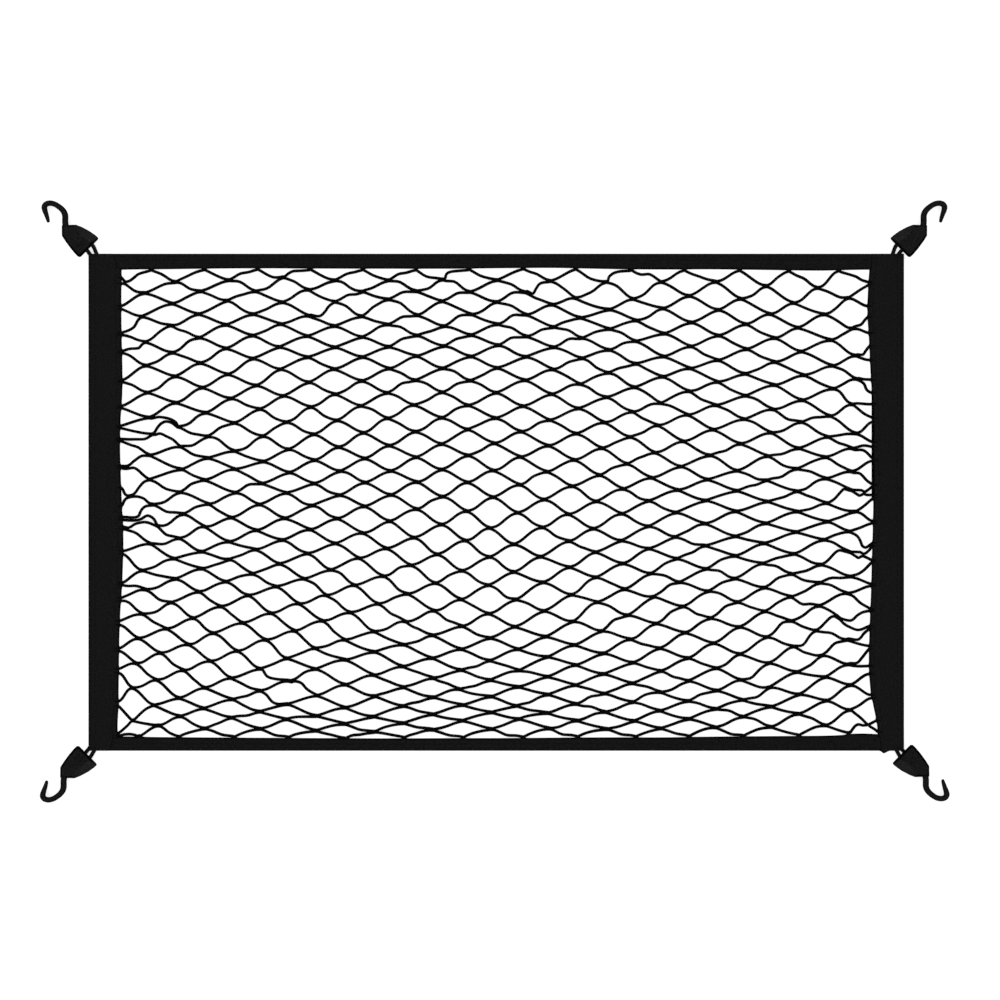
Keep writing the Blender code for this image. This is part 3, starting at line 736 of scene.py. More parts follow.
def webbing_material():
    """Woven elastic webbing: lengthwise rubber ribs under a fine crosswise weft, with darker lines, and
    painted shade along its edges and on its leaning sides.
    """
    look = Look("webbing", BAND_BLACK, roughness=0.88, specular=0.03)
    cloth = look.coordinates("cloth")
    ribs = look.wave(cloth, WAVE_TURN / RIB_PITCH, "X", distortion=0.3)
    weft = look.wave(cloth, WAVE_TURN / WEFT_PITCH, "Y", distortion=0.6)
    base = look.ramp(look.speckle(1000.0), BAND_DARKER, BAND_BLACK, low=0.4, high=0.6)
    # painted shade along both edges of the band, and darker lines along the cloth
    base = look.darken_lines(base, cloth, SELVEDGE_LINES_AND_EDGE_SHADE)
    base = look.darken_lines(base, look.coordinates("hem"), HEM_LINES_AND_EDGE_SHADE)
    # painted shade on the band's leaning edges
    base = look.paint_shade_on_leaning(base, shade=0.2, gloss=0.03)
    look.fill(look.shader, {"Base Color": base})
    heights = ((ribs, 1.0), (weft, 0.8), (look.speckle(900.0), 0.5))
    look.bump(heights, distance=0.00025, strength=0.8)
    return look.material


def braid_material(name, pitch, dark, pale):
    """Round elastic cord: two crossing spirals of yarn round a core, with painted shade on its sides."""
    look = Look(name, dark, roughness=0.72, specular=0.03)
    along = look.coordinates("along")
    spirals = []
    for lean in (2.0, -2.0):
        # u is the length in mm and v one turn, so a sum of them runs round as a spiral.
        turned = look.add("Mapping", "Vector", {"Vector": along, "Scale": (1 / pitch, lean, 0.0)})
        total = look.math("ADD", look.axis(turned, "X"), look.axis(turned, "Y"))
        spirals.append(look.math("SINE", look.math("MULTIPLY", total, 2 * math.pi)))
    braid = look.math("MULTIPLY", *spirals)
    colour = look.ramp(look.spread(braid, -1.0, 1.0), dark, pale, low=0.4, high=0.8)
    # painted shade on the sides of the cord, where it leans away from level
    colour = look.paint_shade_on_leaning(colour, shade=0.3, gloss=0.02)
    look.fill(look.shader, {"Base Color": colour})
    look.bump(((braid, 1.0),), distance=0.00018, strength=0.9)
    return look.material


def thread_material():
    look = Look("thread", THREAD_BLACK, roughness=0.6, specular=0.06)
    twist = look.speckle(1500.0)
    look.fill(look.shader, {"Base Color": look.ramp(twist, BAND_DARKER, THREAD_BLACK)})
    look.bump(((twist, 1.0),), distance=0.0001)
    return look.material


def plastic_material(name, dark, scuffed, grain_deep):
    """Moulded plastic with a fine grain, a little scuffed, and painted shade on its leaning faces."""
    look = Look(name, dark, roughness=0.4, specular=0.03)
    cloudy = look.speckle(850.0)
    colour = look.ramp(cloudy, dark, scuffed, low=0.4, high=0.62)
    # painted shade on the faces that lean away from level, as on the bell's sides and rounded edges
    colour = look.paint_shade_on_leaning(colour, shade=0.25, gloss=0.03)
    worn = look.spread(cloudy, 0.0, 1.0, to_low=0.36, to_high=0.58)
    look.fill(look.shader, {"Base Color": colour, "Roughness": worn})
    grain = look.speckle(700.0, detail=4.0)
    look.bump(((grain, 1.0), (cloudy, 1.5)), grain_deep, strength=0.6)
    return look.material


# ---------------- bands


def inner_edge(side, y):
    """Where the left or right band ends and the net begins."""
    if side == LEFT:
        return FRAME_LEFT + read_column(BAND_WIDTHS, 1, y)
    return FRAME_RIGHT - read_column(BAND_WIDTHS, 2, y)


def edge_wander(end, x):
    return read_column(EDGE_WANDER, 1 if end == TOP else 2, x)


def pulled_out(at, ends):
    """How far the strands sewn in at some places pull a band's edge out at one place."""
    return EDGE_PULL * max(math.exp(-(((at - end) / PULL_REACH) ** 2)) for end in ends)


def band_profile(width, thick, hem):
    """The band's top cut across: distances from its outer edge, heights, and how much each gathers."""
    stitched = width - hem
    middle = (FLAT_START + stitched + HEM_CUT[0][0]) / 2
    cuts = [(distance, deep, gather) for distance, deep, gather in SELVEDGE_CUT]
    cuts.append((middle, *FLAT_CUT))
    cuts += [(stitched + distance, deep, gather) for distance, deep, gather in HEM_CUT]
    cuts += [(width + distance, deep, gather) for distance, deep, gather in INNER_CUT]
    rows = [(distance, thick - deep, gather) for distance, deep, gather in cuts]
    return [(0.0, thick / 2, OUTER_GATHER), *rows, (width, thick / 2, INNER_GATHER)]


def places_across(profile, cut):
    """The distances at which a band is drawn across, with a step where another band meets it."""
    places = [row[0] for row in profile]
    first = places[FLAT_MIDDLE - 1]
    last = places[FLAT_MIDDLE + 1]
    places += [first + (last - first) * (k + 1) / (BAND_FILL + 1) for k in range(BAND_FILL)]
    places += [cut - SEAM_GAP - LEAST_STEP, cut - SEAM_GAP]
    places.sort()
    for k in range(1, len(places)):
        places[k] = max(places[k], places[k - 1] + LEAST_STEP)
    return places


def band_height(profile, along, across, seed, free, pressed):
    """How high a band's top is: gathered where it is free, and pressed where its end is sewn in."""
    distances, levels, gathers = zip(*profile)
    level = np.interp(across, distances, levels)
    lift = 0.0
    for high, long, wide, start in GATHERS:
        lift += high * noise.noise(Vector((along / long, across / wide, seed + start)))
    lift *= np.interp(across, distances, gathers)
    return level * (1 - pressed + pressed * free) + lift * free


def sweep_band(name, stations, material):
    """A band through stations of (point, distance from outer edge, from inner edge, along)."""
    bm = bmesh.new()
    cloth = bm.loops.layers.uv.new("cloth")
    hem = bm.loops.layers.uv.new("hem")
    spots = {}
    rows = []
    for station in stations:
        row = []
        for (x, y, z), across, inside, along in station:
            pair = (bm.verts.new((x, y, z)), bm.verts.new((x, y, BAND_FOOT)))
            spots.update(dict.fromkeys(pair, (across, inside, along)))
            row.append(pair)
        rows.append(row)
    for first, second in zip(rows, rows[1:]):
        for k in range(len(first) - 1):
            bm.faces.new((first[k][0], first[k + 1][0], second[k + 1][0], second[k][0]))
            bm.faces.new((first[k][1], second[k][1], second[k + 1][1], first[k + 1][1]))
        for k in (0, -1):
            bm.faces.new((first[k][0], second[k][0], second[k][1], first[k][1]))
    for row in (rows[0], rows[-1]):
        for one, other in zip(row, row[1:]):
            bm.faces.new((one[0], other[0], other[1], one[1]))
    for face in bm.faces:
        for loop in face.loops:
            across, inside, along = spots[loop.vert]
            loop[cloth].uv = (across, along)
            loop[hem].uv = (inside, along)
    band = from_bmesh(name, bm, material)
    band.data.set_sharp_from_angle(angle=math.radians(BAND_SHARP))
    return band


def lapped(side, y, across):
    """How far a point near the right band's lower end hangs down."""
    if side == LEFT or not LAP_OUT < across < LAP_IN:
        return 0.0
    near = min(max((WEB_BOTTOM + LAP_LONG - y) / LAP_LONG, 0.0), 1.0)
    return LAP_DROP * near * math.sin(math.pi * ((across - LAP_OUT) / (LAP_IN - LAP_OUT)) ** 2)


def seam_place(seam, inside):
    """A seam's x, from the frame's outer edge at 0 to its inner edge at 1."""
    outer_x, inner_x = seam
    return outer_x + (inner_x - outer_x) * inside


def side_band(side, material):
    """A side band, full width from end to end. Beyond a seam it lies under the cross band."""
    name, seed, outer, which = ("webbing_left", 3.0, WEB_LEFT, 0)
    if side == RIGHT:
        name, seed, outer, which = ("webbing_right", 23.0, WEB_RIGHT, 1)
    count = round((WEB_TOP - WEB_BOTTOM) / BAND_STEP)
    heights = [WEB_TOP + (WEB_BOTTOM - WEB_TOP) * k / count for k in range(count + 1)]
    heights += [y + step for y in (NET_TOP, NET_BOTTOM) for step in (-SEAM_STEP, SEAM_STEP)]
    ends = [end_height(side, strand) for strand in range(ROWS)]
    stations = []
    for y in sorted(heights, reverse=True):
        width = abs(inner_edge(side, y) - outer) + pulled_out(y, ends)
        if y > 0:
            seams = TOP_SEAMS
            share = (y - NET_TOP) / (WEB_TOP - NET_TOP)
        else:
            seams = BOTTOM_SEAMS
            share = (NET_BOTTOM - y) / (NET_BOTTOM - WEB_BOTTOM)
        seam = abs(seam_place(seams[which], 1 - max(share, 0.0)) - outer)
        free = min(1.0, min(WEB_TOP - y, y - WEB_BOTTOM) / END_RUN)
        profile = band_profile(width, SIDE_THICK, SIDE_HEM)
        station = []
        for across in places_across(profile, seam):
            height = band_height(profile, y, across, seed, free, SIDE_PRESSED)
            if share > 0.0 and across > seam - SEAM_GAP - LEAST_STEP / 2:
                height = min(height, TUCKED_HEIGHT)
            point = (outer - side * across, y - lapped(side, y, across), height)
            station.append((point, across, width - across, y))
        stations.append(station)
    return sweep_band(name, stations, material)


def cross_band(end, lattice, material):
    """A narrow band between its two seams, which butts the side bands."""
    if end == TOP:
        name, seed, row = ("binding_top", 41.0, 0)
        outer, inner, (left, right) = (WEB_TOP, NET_TOP, TOP_SEAMS)
    else:
        name, seed, row = ("binding_bottom", 57.0, ROWS)
        outer, inner, (left, right) = (WEB_BOTTOM, NET_BOTTOM, BOTTOM_SEAMS)
    sewn = [lattice.at[column, row][0] for column in range(1, COLUMNS, 2)]
    length = right[0] - left[0]
    count = round(length / BAND_STEP)
    stations = []
    for k in range(count + 1):
        share = k / count
        middle = left[1] + (right[1] - left[1]) * share
        width = abs(outer - inner) + edge_wander(end, middle) + pulled_out(middle, sewn)
        free = min(1.0, min(share, 1 - share) * length / END_RUN)
        profile = band_profile(width, CROSS_THICK, CROSS_HEM)
        station = []
        for across in places_across(profile, profile[FLAT_MIDDLE][0]):
            start = seam_place(left, across / width)
            x = start + (seam_place(right, across / width) - start) * share
            height = band_height(profile, x, across, seed, free, CROSS_PRESSED)
            station.append(((x, outer - end * across, height), across, width - across, x))
        stations.append(station)
    return sweep_band(name, stations, material)


# ---------------- stitching

ZIGZAG_STEP = 1.6
ZIGZAG_IN = 0.9  # how far the zigzag runs to each side of its middle
ZIGZAG_MARGIN = 2.0
SIDE_ZIGZAG = 3.7  # from a side band's inner edge to the zigzag's middle
STITCH_STRAY = 0.2
STITCH_RADIUS = 0.24
STITCH_SIDES = 5
SIDE_SUNK = 0.2  # how deep the stitches lie in a side band
CROSS_SUNK = 0.25
TACK_PROUD = 0.05
TACK_IN = 2.2  # from the frame's outer edge
TACK_LONG = 9.0
TACK_WIDE = 2.6
TACK_LEAN = 0.5
TACK_ROWS = 18
# A stitch dips into the webbing at both ends: where along it, how deep, and how thick.
STITCH_SHAPE = (
    (0.0, 0.5, 0.7),
    (0.2, 0.05, 1.0),
    (0.5, 0.0, 1.05),
    (0.8, 0.05, 1.0),
    (1.0, 0.5, 0.7),
)


def stitch(parts, start, end, height):
    path = []
    for share, sink, thick in STITCH_SHAPE:
        x = start[0] + (end[0] - start[0]) * share
        y = start[1] + (end[1] - start[1]) * share
        path.append((x, y, height - sink, STITCH_RADIUS * thick))
    parts.tube(path, STITCH_SIDES)


def zigzag(parts, first, last, spot_at, height, rng):
    """Stitches to and fro along a seam. spot_at gives the spot at a place and so far aside."""
    way = 1 if last > first else -1
    count = int((abs(last - first) - 2 * ZIGZAG_MARGIN) / ZIGZAG_STEP)
    spots = []
    for k in range(count + 1):
        swing = ZIGZAG_IN if k % 2 else -ZIGZAG_IN
        aside = swing + rng.uniform(-STITCH_STRAY, STITCH_STRAY)
        spots.append(spot_at(first + way * (ZIGZAG_MARGIN + k * ZIGZAG_STEP), aside))
    for start, end in zip(spots, spots[1:]):
        stitch(parts, start, end, height)


def stitching(material):
    """Zigzag stitches along every band's inner edge and a dense bar tack over each corner."""
    parts = Parts()
    rng = random.Random(SEED)
    for side in (LEFT, RIGHT):

        def beside_edge(y, aside):
            return inner_edge(side, y) + side * (SIDE_ZIGZAG + aside), y

        zigzag(parts, NET_TOP, NET_BOTTOM, beside_edge, SIDE_THICK - SIDE_SUNK, rng)
    for end in (BOTTOM, TOP):
        inner = NET_TOP if end == TOP else NET_BOTTOM
        left, right = TOP_SEAMS if end == TOP else BOTTOM_SEAMS

        def along_hem(x, aside):
            return x, inner + end * (CROSS_HEM - edge_wander(end, x) + aside)

        zigzag(parts, left[1], right[1], along_hem, CROSS_THICK - CROSS_SUNK, rng)
    for hook in HOOKS:
        bar_tack(parts, hook)
    return parts.build("stitching", material)


def bar_tack(parts, hook):
    """Close zigzag stitches across the corner, over the sewn ends of the loop."""
    corner_x, corner_y = frame_corner(hook)
    middle = (hook.outer + hook.inner) / 2
    for k in range(TACK_ROWS):
        along = middle - TACK_LONG / 2 + TACK_LONG * k / (TACK_ROWS - 1)
        lean = TACK_LEAN if k % 2 else -TACK_LEAN
        start = (corner_x - hook.side * (along - lean), corner_y - hook.end * TACK_IN)
        stop = (corner_x - hook.side * (along + lean), corner_y - hook.end * (TACK_IN + TACK_WIDE))
        stitch(parts, start, stop, SIDE_THICK + TACK_PROUD)


# ---------------- the net


def end_height(side, strand):
    """The height at which a strand is sewn to a side band."""
    rows = LEFT_ENDS if side == LEFT else RIGHT_ENDS
    per_row = len(rows[0])
    return rows[strand // per_row][strand % per_row]


def read_drift(table, column, row):
    rows = [line[0] for line in table]
    values = [smooth_through(STATIONS, line[1:], column) for line in table]
    return smooth_through(rows, values, row)


def knot_place(column, row):
    """The middle of one knot, from the smooth drift of the net."""
    if column in (0, COLUMNS):
        side = LEFT if column == 0 else RIGHT
        above = end_height(side, min(max(row - 1, 0), ROWS - 1))
        below = end_height(side, min(row, ROWS - 1))
        y = (above + below) / 2
        return inner_edge(side, y), y
    left = inner_edge(LEFT, 0.0)
    x = left + (inner_edge(RIGHT, 0.0) - left) * column / COLUMNS
    y = NET_TOP + (NET_BOTTOM - NET_TOP) * row / ROWS
    reach = min(column, STATIONS[-1])
    x += read_drift(DRIFT_RIGHT, reach, row)
    if row == 0:
        return x, y - edge_wander(TOP, x)
    if row == ROWS:
        return x, y + edge_wander(BOTTOM, x)
    return x, y + read_drift(DRIFT_UP, reach, row)


class Lattice:
    """Every knot's place, lean and length, with the small unevenness of a used net."""

    def __init__(self):
        rng = random.Random(SEED)
        knots = [(column, row) for row in range(ROWS + 1) for column in range(COLUMNS + 1)]
        self.at = {}
        self.tilt = {}
        self.half = {}
        for column, row in knots:
            x, y = knot_place(column, row)
            stray = KNOT_STRAY if 0 < column < COLUMNS and 0 < row < ROWS else 0.0
            x += rng.uniform(-stray, stray)
            y += rng.uniform(-stray, stray)
            self.at[column, row] = (x, y)
            self.half[column, row] = 0.0 if column in (0, COLUMNS) else KNOT_HALF
        for row, left_x, left_y, right_x, right_y in OUTER_KNOTS:
            self.at[1, row] = (left_x, left_y)
            self.at[COLUMNS - 1, row] = (right_x, right_y)
        for column, row, right, up in NUDGES:
            x, y = self.at[column, row]
            self.at[column, row] = (x + right, y + up)
        for column, row in knots:
            lean = self.lean(column, row) + rng.uniform(-LEAN_STRAY, LEAN_STRAY)
            self.tilt[column, row] = lean if 0 < row < ROWS else 0.0
        for column, row, half, degrees in LONG_KNOTS:
            self.half[column, row] = half
            self.tilt[column, row] = math.radians(degrees)

    def lean(self, column, row):
        """The angle of the strands through a knot, from the four knots round it."""
        if row in (0, ROWS) or column in (0, COLUMNS):
            return 0.0
        left = [self.at[column - 1, row - 1], self.at[column - 1, row + 1]]
        right = [self.at[column + 1, row - 1], self.at[column + 1, row + 1]]
        rise = (right[0][1] + right[1][1] - left[0][1] - left[1][1]) / 2
        run = (right[0][0] + right[1][0] - left[0][0] - left[1][0]) / 2
        return math.atan2(rise, run)


PULL_TABLE = np.array([
    (PULLS_CORNER[0] + right, PULLS_CORNER[1] - down, up)
    for up, places in PULLS.items()
    for right, down in places
])


def on_net(spot, rise):
    """A point of a strand, pulled a little up or down the sheet with the net round it."""
    x, y = spot
    away = ((PULL_TABLE[:, 0] - x) ** 2 + (PULL_TABLE[:, 1] - y) ** 2) / PULL_SPREAD**2
    pulled = float(np.sum(PULL_TABLE[:, 2] * np.exp(-away)))
    return x, y + pulled, NET_HEIGHT + rise


def heading(angle):
    return np.array((math.cos(angle), math.sin(angle)))


Turn = namedtuple("Turn", "enter middle leave way_in way_out aside rise reach")


def strand_turn(lattice, strand, column):
    """How a strand turns at a knot, which it climbs to in every other column and dips to between."""
    high = (column + strand) % 2 == 1
    row = strand if high else strand + 1
    part, before, after, lean, reach = CREST_TURN if high else DIP_TURN
    if row in (0, ROWS):
        part, before, after, lean, reach = SEWN_TURN
    over = -1 if high else 1
    tilt = lattice.tilt[column, row]
    half = lattice.half[column, row]
    aside = np.array((-math.sin(tilt), math.cos(tilt)))
    middle = np.array(lattice.at[column, row]) + aside * part * over
    if column in (0, COLUMNS):
        side = LEFT if column == 0 else RIGHT
        y = end_height(side, strand)
        middle = np.array((inner_edge(side, y), y))
    way_in = heading(tilt + lean - over * before)
    way_out = heading(tilt + lean + over * after)
    rise = 0.0 if high else KNOT_RISE
    enter = middle - way_in * half
    leave = middle + way_out * half
    return Turn(enter, middle, leave, way_in, way_out, aside, rise, reach)


def strand_path(lattice, strand, rng):
    """One strand from band to band, turning sharply in its dips and more roundly in its crests."""
    slack = {column: places for row, column, *places in SLACK if row == strand}
    turns = [strand_turn(lattice, strand, column) for column in range(COLUMNS + 1)]
    points = sewn_points(turns[0].middle, LEFT)
    for column, (start, end) in enumerate(zip(turns, turns[1:])):
        if column in slack:
            spots = slack_span(start, slack[column], end)
        else:
            spots = taut_span(start, end, end.aside * rng.uniform(-BOW, BOW))
        for k, spot in enumerate(spots):
            lift = start.rise + (end.rise - start.rise) * (k + 1) / (len(spots) + 1)
            points.append(on_net(spot, lift))
        if column + 1 < COLUMNS:
            points += [on_net(spot, end.rise) for spot in (end.enter, end.middle, end.leave)]
    points += sewn_points(turns[-1].middle, RIGHT)[::-1]
    path = []
    for k, point in enumerate(points):
        swell = 1.0 + SWELL * noise.noise(Vector((k / SWELL_LONG, strand * SWELL_APART, SWELL_PLACE)))
        if k in (0, len(points) - 1):
            swell *= SEWN_THIN
        path.append((*point, STRAND_RADIUS * swell))
    return path


def sewn_points(middle, side):
    """A strand's last two points, inside a side band and at its edge."""
    x, y = middle
    return [(x + side * SEWN_IN, y, SEWN_HEIGHT), (x, y, SEWN_HEIGHT)]


def taut_span(start, end, bow):
    """The strand between two knots as one even curve, without its ends."""
    chord = np.linalg.norm(end.enter - start.leave)
    first = start.leave + start.way_out * chord * start.reach
    second = end.enter - end.way_in * chord * end.reach
    spots = []
    for k in range(1, SPAN_STEPS):
        t = k / SPAN_STEPS
        spot = (1 - t) ** 3 * start.leave + 3 * (1 - t) ** 2 * t * first
        spot = spot + 3 * (1 - t) * t**2 * second + t**3 * end.enter
        spots.append(spot + bow * math.sin(math.pi * t))
    return spots


def slack_span(start, places, end):
    """The strand between two knots through the places where it bends, without its ends."""
    bends = [np.array(spot, float) for spot in places]
    lead_in = start.leave - start.way_out * SLACK_LEAD
    lead_out = end.enter + end.way_in * SLACK_LEAD
    line = [lead_in, start.leave, *bends, end.enter, lead_out]
    travelled = [0.0]
    for first, second in zip(line, line[1:]):
        travelled.append(travelled[-1] + np.linalg.norm(second - first))
    count = SLACK_STEPS * (len(places) + 1)
    spots = []
    for k in range(1, count):
        at = travelled[1] + (travelled[-2] - travelled[1]) * k / count
        spots.append([smooth_through(travelled, values, at) for values in zip(*line)])
    return spots


def net_strands(lattice, material):
    rng = random.Random(SEED + 1)
    parts = Parts()
    for strand in range(ROWS):
        parts.tube(strand_path(lattice, strand, rng), STRAND_SIDES)
    return parts.build("net_strands", material)


WRAP_TURNS = 1.5
WRAP_STEPS = 12
WRAP_SIDES = 4
WRAP_RADIUS = 0.26
WRAP_LONG = 2.6
WRAP_BITE = 0.1  # how far the yarn sinks into the strands at its sides and stands off above


def net_knots(lattice, material):
    """The yarn that binds the two strands of each knot, wound once and a half round them."""
    parts = Parts()
    wide = KNOT_PART + STRAND_RADIUS - WRAP_BITE
    for row in range(1, ROWS):
        for column in range(row % 2 + 1, COLUMNS, 2):
            x, y, middle = on_net(lattice.at[column, row], KNOT_RISE / 2)
            forward = heading(lattice.tilt[column, row])
            path = []
            for k in range(WRAP_STEPS + 1):
                share = k / WRAP_STEPS
                turn = 2 * math.pi * WRAP_TURNS * share
                along = WRAP_LONG * (share - 0.5)
                aside = wide * math.cos(turn)
                height = middle + (STRAND_RADIUS + WRAP_BITE) * math.sin(turn)
                wrap_x = x + along * forward[0] - aside * forward[1]
                wrap_y = y + along * forward[1] + aside * forward[0]
                path.append((wrap_x, wrap_y, max(height, WRAP_RADIUS), WRAP_RADIUS))
            parts.tube(path, WRAP_SIDES)
    return parts.build("net_knots", material)


# ---------------- hooks and loops

DIAGONAL = math.sqrt(0.5)  # the bell lies at 45 degrees


def frame_corner(hook):
    corner_x = FRAME_LEFT if hook.side == LEFT else FRAME_RIGHT
    corner_y = FRAME_TOP if hook.end == TOP else FRAME_BOTTOM
    return corner_x, corner_y


def hook_place(hook, x, y):
    """A point beside the top left corner, carried to where this hook lies."""
    corner_x, corner_y = frame_corner(hook)
    return corner_x - hook.side * x + hook.slid_x, corner_y + hook.end * y + hook.slid_y


def mouth_point(out, aside):
    """A point near the bell's mouth: out along the bell's axis from the loop's centre, and aside."""
    centre_x, centre_y = LOOP_CENTRE
    return centre_x + DIAGONAL * (out + aside), centre_y + DIAGONAL * (aside - out)


def bell_height(x, y):
    """The bell rises from its neck to its mouth."""
    centre_x, centre_y = LOOP_CENTRE
    back = ((centre_x - x) + (y - centre_y)) * DIAGONAL
    share = min(max(back / BELL_LONG, 0.0), 1.0)
    return BELL_HIGH_AT_MOUTH + (BELL_HIGH_AT_NECK - BELL_HIGH_AT_MOUTH) * share


def add_bell(hook, material, grained):
    rim = [(row[0], row[1]) for row in BELL_OUTLINE]
    top = [(row[2], row[3]) for row in BELL_OUTLINE]
    middle_x = sum(x for x, _ in rim) / len(rim)
    middle_y = sum(y for _, y in rim) / len(rim)
    foot = [
        (middle_x + (x - middle_x) * BELL_FOOT_INSET, middle_y + (y - middle_y) * BELL_FOOT_INSET)
        for x, y in rim
    ]
    bm = bmesh.new()
    rings = []
    for outline, level in zip((foot, rim, rim, top), (*BELL_LEVELS, None)):
        ring = []
        for x, y in outline:
            z = bell_height(x, y) if level is None else level
            ring.append(bm.verts.new((*hook_place(hook, x, y), z)))
        rings.append(ring)
    for lower, upper in zip(rings, rings[1:]):
        for k in range(len(lower)):
            beside = (k + 1) % len(lower)
            face = bm.faces.new((lower[k], lower[beside], upper[beside], upper[k]))
            if upper is rings[-1] and k in GRAINED_SIDE:
                face.material_index = 1
    bm.faces.new(rings[0][::-1])
    bm.faces.new(rings[-1])
    bell = from_bmesh("hook_body_" + hook.name, bm, material)
    bell.data.materials.append(grained)
    rounding = bell.modifiers.new("moulded edges", "BEVEL")
    rounding.width = BELL_ROUND * MM
    rounding.segments = BELL_ROUND_STEPS
    rounding.limit_method = "ANGLE"
    rounding.angle_limit = math.radians(BELL_ROUND_ANGLE)
    return settle(bell)


def prism(name, outline, low, high, material):
    bm = bmesh.new()
    base = bm.faces.new([bm.verts.new((x, y, low)) for x, y in outline])
    lifted = bmesh.ops.extrude_face_region(bm, geom=[base])
    raised = [item for item in lifted["geom"] if isinstance(item, bmesh.types.BMVert)]
    bmesh.ops.translate(bm, vec=(0.0, 0.0, high - low), verts=raised)
    return from_bmesh(name, bm, material)


def cut_or_join(body, tool, operation):
    step = body.modifiers.new(tool.name, "BOOLEAN")
    step.operation = operation
    step.solver = "EXACT"
    step.object = tool
    settle(body)
    bpy.data.objects.remove(tool, do_unlink=True)


def add_hook(hook, material, grained):
    """Bell, loop post and cane hook as one moulding."""
    bell = add_bell(hook, material, grained)
    half = LOOP_TURN + CORD_RADIUS + POCKET_SPARE
    corners = ((POCKET_OUT, -half), (POCKET_OUT, half), (-POCKET_DEEP, half), (-POCKET_DEEP, -half))
    outline = [hook_place(hook, *mouth_point(out, aside)) for out, aside in corners]
    low = LOOP_HIGH_IN_BELL - CORD_RADIUS - POCKET_SPARE
    high = LOOP_HIGH_IN_BELL + CORD_RADIUS + POCKET_SPARE
    cut_or_join(bell, prism("pocket", outline, low, high, material), "DIFFERENCE")
    radius = LOOP_TURN - CORD_RADIUS - POST_GAP
    ring = []
    for k in range(WIRE_SIDES):
        turn = 2 * math.pi * k / WIRE_SIDES
        ring.append(hook_place(hook, *mouth_point(radius * math.cos(turn), radius * math.sin(turn))))
    cut_or_join(bell, prism("post", ring, POST_LOW, POST_HIGH, material), "UNION")
    path = []
    for x, y, radius in curve_points(HOOK_WIRE, WIRE_STEPS):
        path.append((*hook_place(hook, x, y), WIRE_HEIGHT, radius))
    cut_or_join(bell, one_tube("cane", path, WIRE_SIDES, material), "UNION")
    bell.data.shade_smooth()
    bell.data.set_sharp_from_angle(angle=math.radians(HOOK_SHARP))
    return bell


def add_loop(hook, material):
    """A cord from between the bands' layers, round the post in the bell and back."""
    turned = [mouth_point(LOOP_STRAIGHT, LOOP_TURN + hook.bow), mouth_point(LOOP_LEG, LOOP_TURN)]
    for k in range(LOOP_BEND_STEPS + 1):
        turn = math.pi * (0.5 - k / LOOP_BEND_STEPS)
        turned.append(mouth_point(-LOOP_TURN * math.cos(turn), LOOP_TURN * math.sin(turn)))
    turned.append(mouth_point(LOOP_LEG, -LOOP_TURN))

    def sewn_end(sewn_x, near):
        sewn = Vector((sewn_x + hook.slid_x * hook.side, LOOP_SEWN - hook.slid_y * hook.end))
        edge = sewn.lerp(near, (LOOP_EDGE - LOOP_SEWN) / (near[1] - sewn.y))
        return [(*spot, LOOP_HIGH_AT_BAND, LOOP_PRESSED) for spot in (sewn, edge)]

    rows = sewn_end(hook.outer, turned[0])
    rows += [(*spot, LOOP_HIGH_IN_BELL, 1.0) for spot in turned]
    rows += sewn_end(hook.inner, turned[-1])[::-1]
    path = []
    for x, y, z, flatness in curve_points(rows, CORD_STEPS):
        path.append((*hook_place(hook, x, y), z, CORD_RADIUS, min(flatness, 1.0)))
    return one_tube("cord_" + hook.name, path, CORD_SIDES, material)


# ---------------- camera, light and floor

PICTURE_WIDE = 1.0  # metres of the surface across the picture
PICTURE_MIDDLE = (0.005, 0.001)
LENS = 150.0
SENSOR = 36.0
SOFTBOX_SIZE = 1.3
SOFTBOXES = (
    ("softbox_back_left", (-1.6, 1.5, 2.1), 32.0),
    ("softbox_back_right", (1.6, 1.5, 2.1), 28.0),
    ("softbox_front_left", (-1.6, -1.5, 2.1), 27.0),
    ("softbox_front_right", (1.6, -1.5, 2.1), 25.0),
)
SKY_STRENGTH = 0.55
FLOOR_SIZE = 12.0
FLOOR_GLOW = 0.74  # the floor is a light table, so that the shadows on it stay faint


def add_camera():
    data = bpy.data.cameras.new("camera")
    data.lens = LENS
    data.sensor_width = SENSOR
    data.clip_end = 100.0
    camera = bpy.data.objects.new("camera", data)
    camera.location = (*PICTURE_MIDDLE, PICTURE_WIDE * LENS / SENSOR + SIDE_THICK * MM)
    bpy.context.scene.collection.objects.link(camera)
    bpy.context.scene.camera = camera


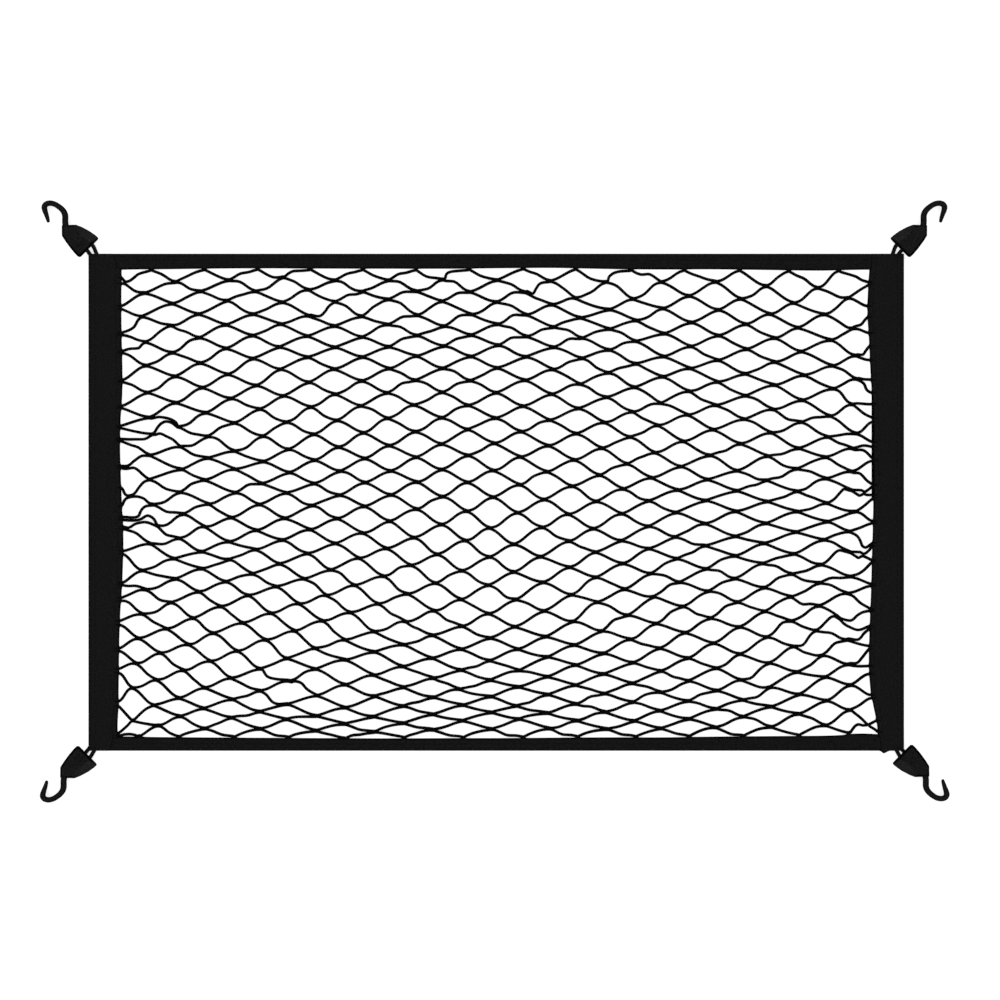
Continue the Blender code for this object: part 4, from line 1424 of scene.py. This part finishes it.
def add_softbox(name, spot, watts):
    data = bpy.data.lights.new(name, "AREA")
    data.shape = "SQUARE"
    data.size = SOFTBOX_SIZE
    data.energy = watts
    light = bpy.data.objects.new(name, data)
    light.location = spot
    light.rotation_euler = Vector(spot).to_track_quat("Z", "Y").to_euler()
    bpy.context.scene.collection.objects.link(light)


def add_stage():
    world = bpy.data.worlds.new("studio")
    world.use_nodes = True
    backdrop = world.node_tree.nodes["Background"]
    backdrop.inputs["Color"].default_value = WHITE
    backdrop.inputs["Strength"].default_value = SKY_STRENGTH
    bpy.context.scene.world = world
    for softbox in SOFTBOXES:
        add_softbox(*softbox)
    bpy.ops.mesh.primitive_plane_add(size=FLOOR_SIZE)
    floor = bpy.context.object
    floor.name = "floor"
    look = Look("floor_white", FLOOR_WHITE, roughness=0.9, specular=0.1)
    look.fill(look.shader, {"Emission Color": WHITE, "Emission Strength": FLOOR_GLOW})
    floor.data.materials.append(look.material)
    bpy.context.scene.view_settings.view_transform = "Standard"


# ---------------- the whole thing


def build():
    add_camera()
    add_stage()
    cord = braid_material("net_cord", STRAND_BRAID, STRAND_BLACK, STRAND_PALER)
    loop_cord = braid_material("loop_cord", LOOP_BRAID, STRAND_BLACK, LOOP_PALER)
    webbing = webbing_material()
    thread = thread_material()
    plastic = plastic_material("moulded_plastic", HOOK_BLACK, HOOK_SCUFFED, FINE_GRAIN)
    grained = plastic_material("grained_plastic", GRAIN_BLACK, GRAIN_SCUFFED, COARSE_GRAIN)

    lattice = Lattice()
    strands = place(net_strands(lattice, cord), "net_cord", "net")
    knots = place(net_knots(lattice, cord), "net_cord")
    left = place(side_band(LEFT, webbing), "band_webbing", "band_left")
    right = place(side_band(RIGHT, webbing), "band_webbing", "band_right")
    top = place(cross_band(TOP, lattice, webbing), "band_webbing", "band_top")
    bottom = place(cross_band(BOTTOM, lattice, webbing), "band_webbing", "band_bottom")
    place(stitching(thread), "band_webbing")
    for hook in HOOKS:
        place(add_hook(hook, plastic, grained), "hook_plastic", "hook_" + hook.name)
        place(add_loop(hook, loop_cord), "loop_cord", "loop_" + hook.name)


build()
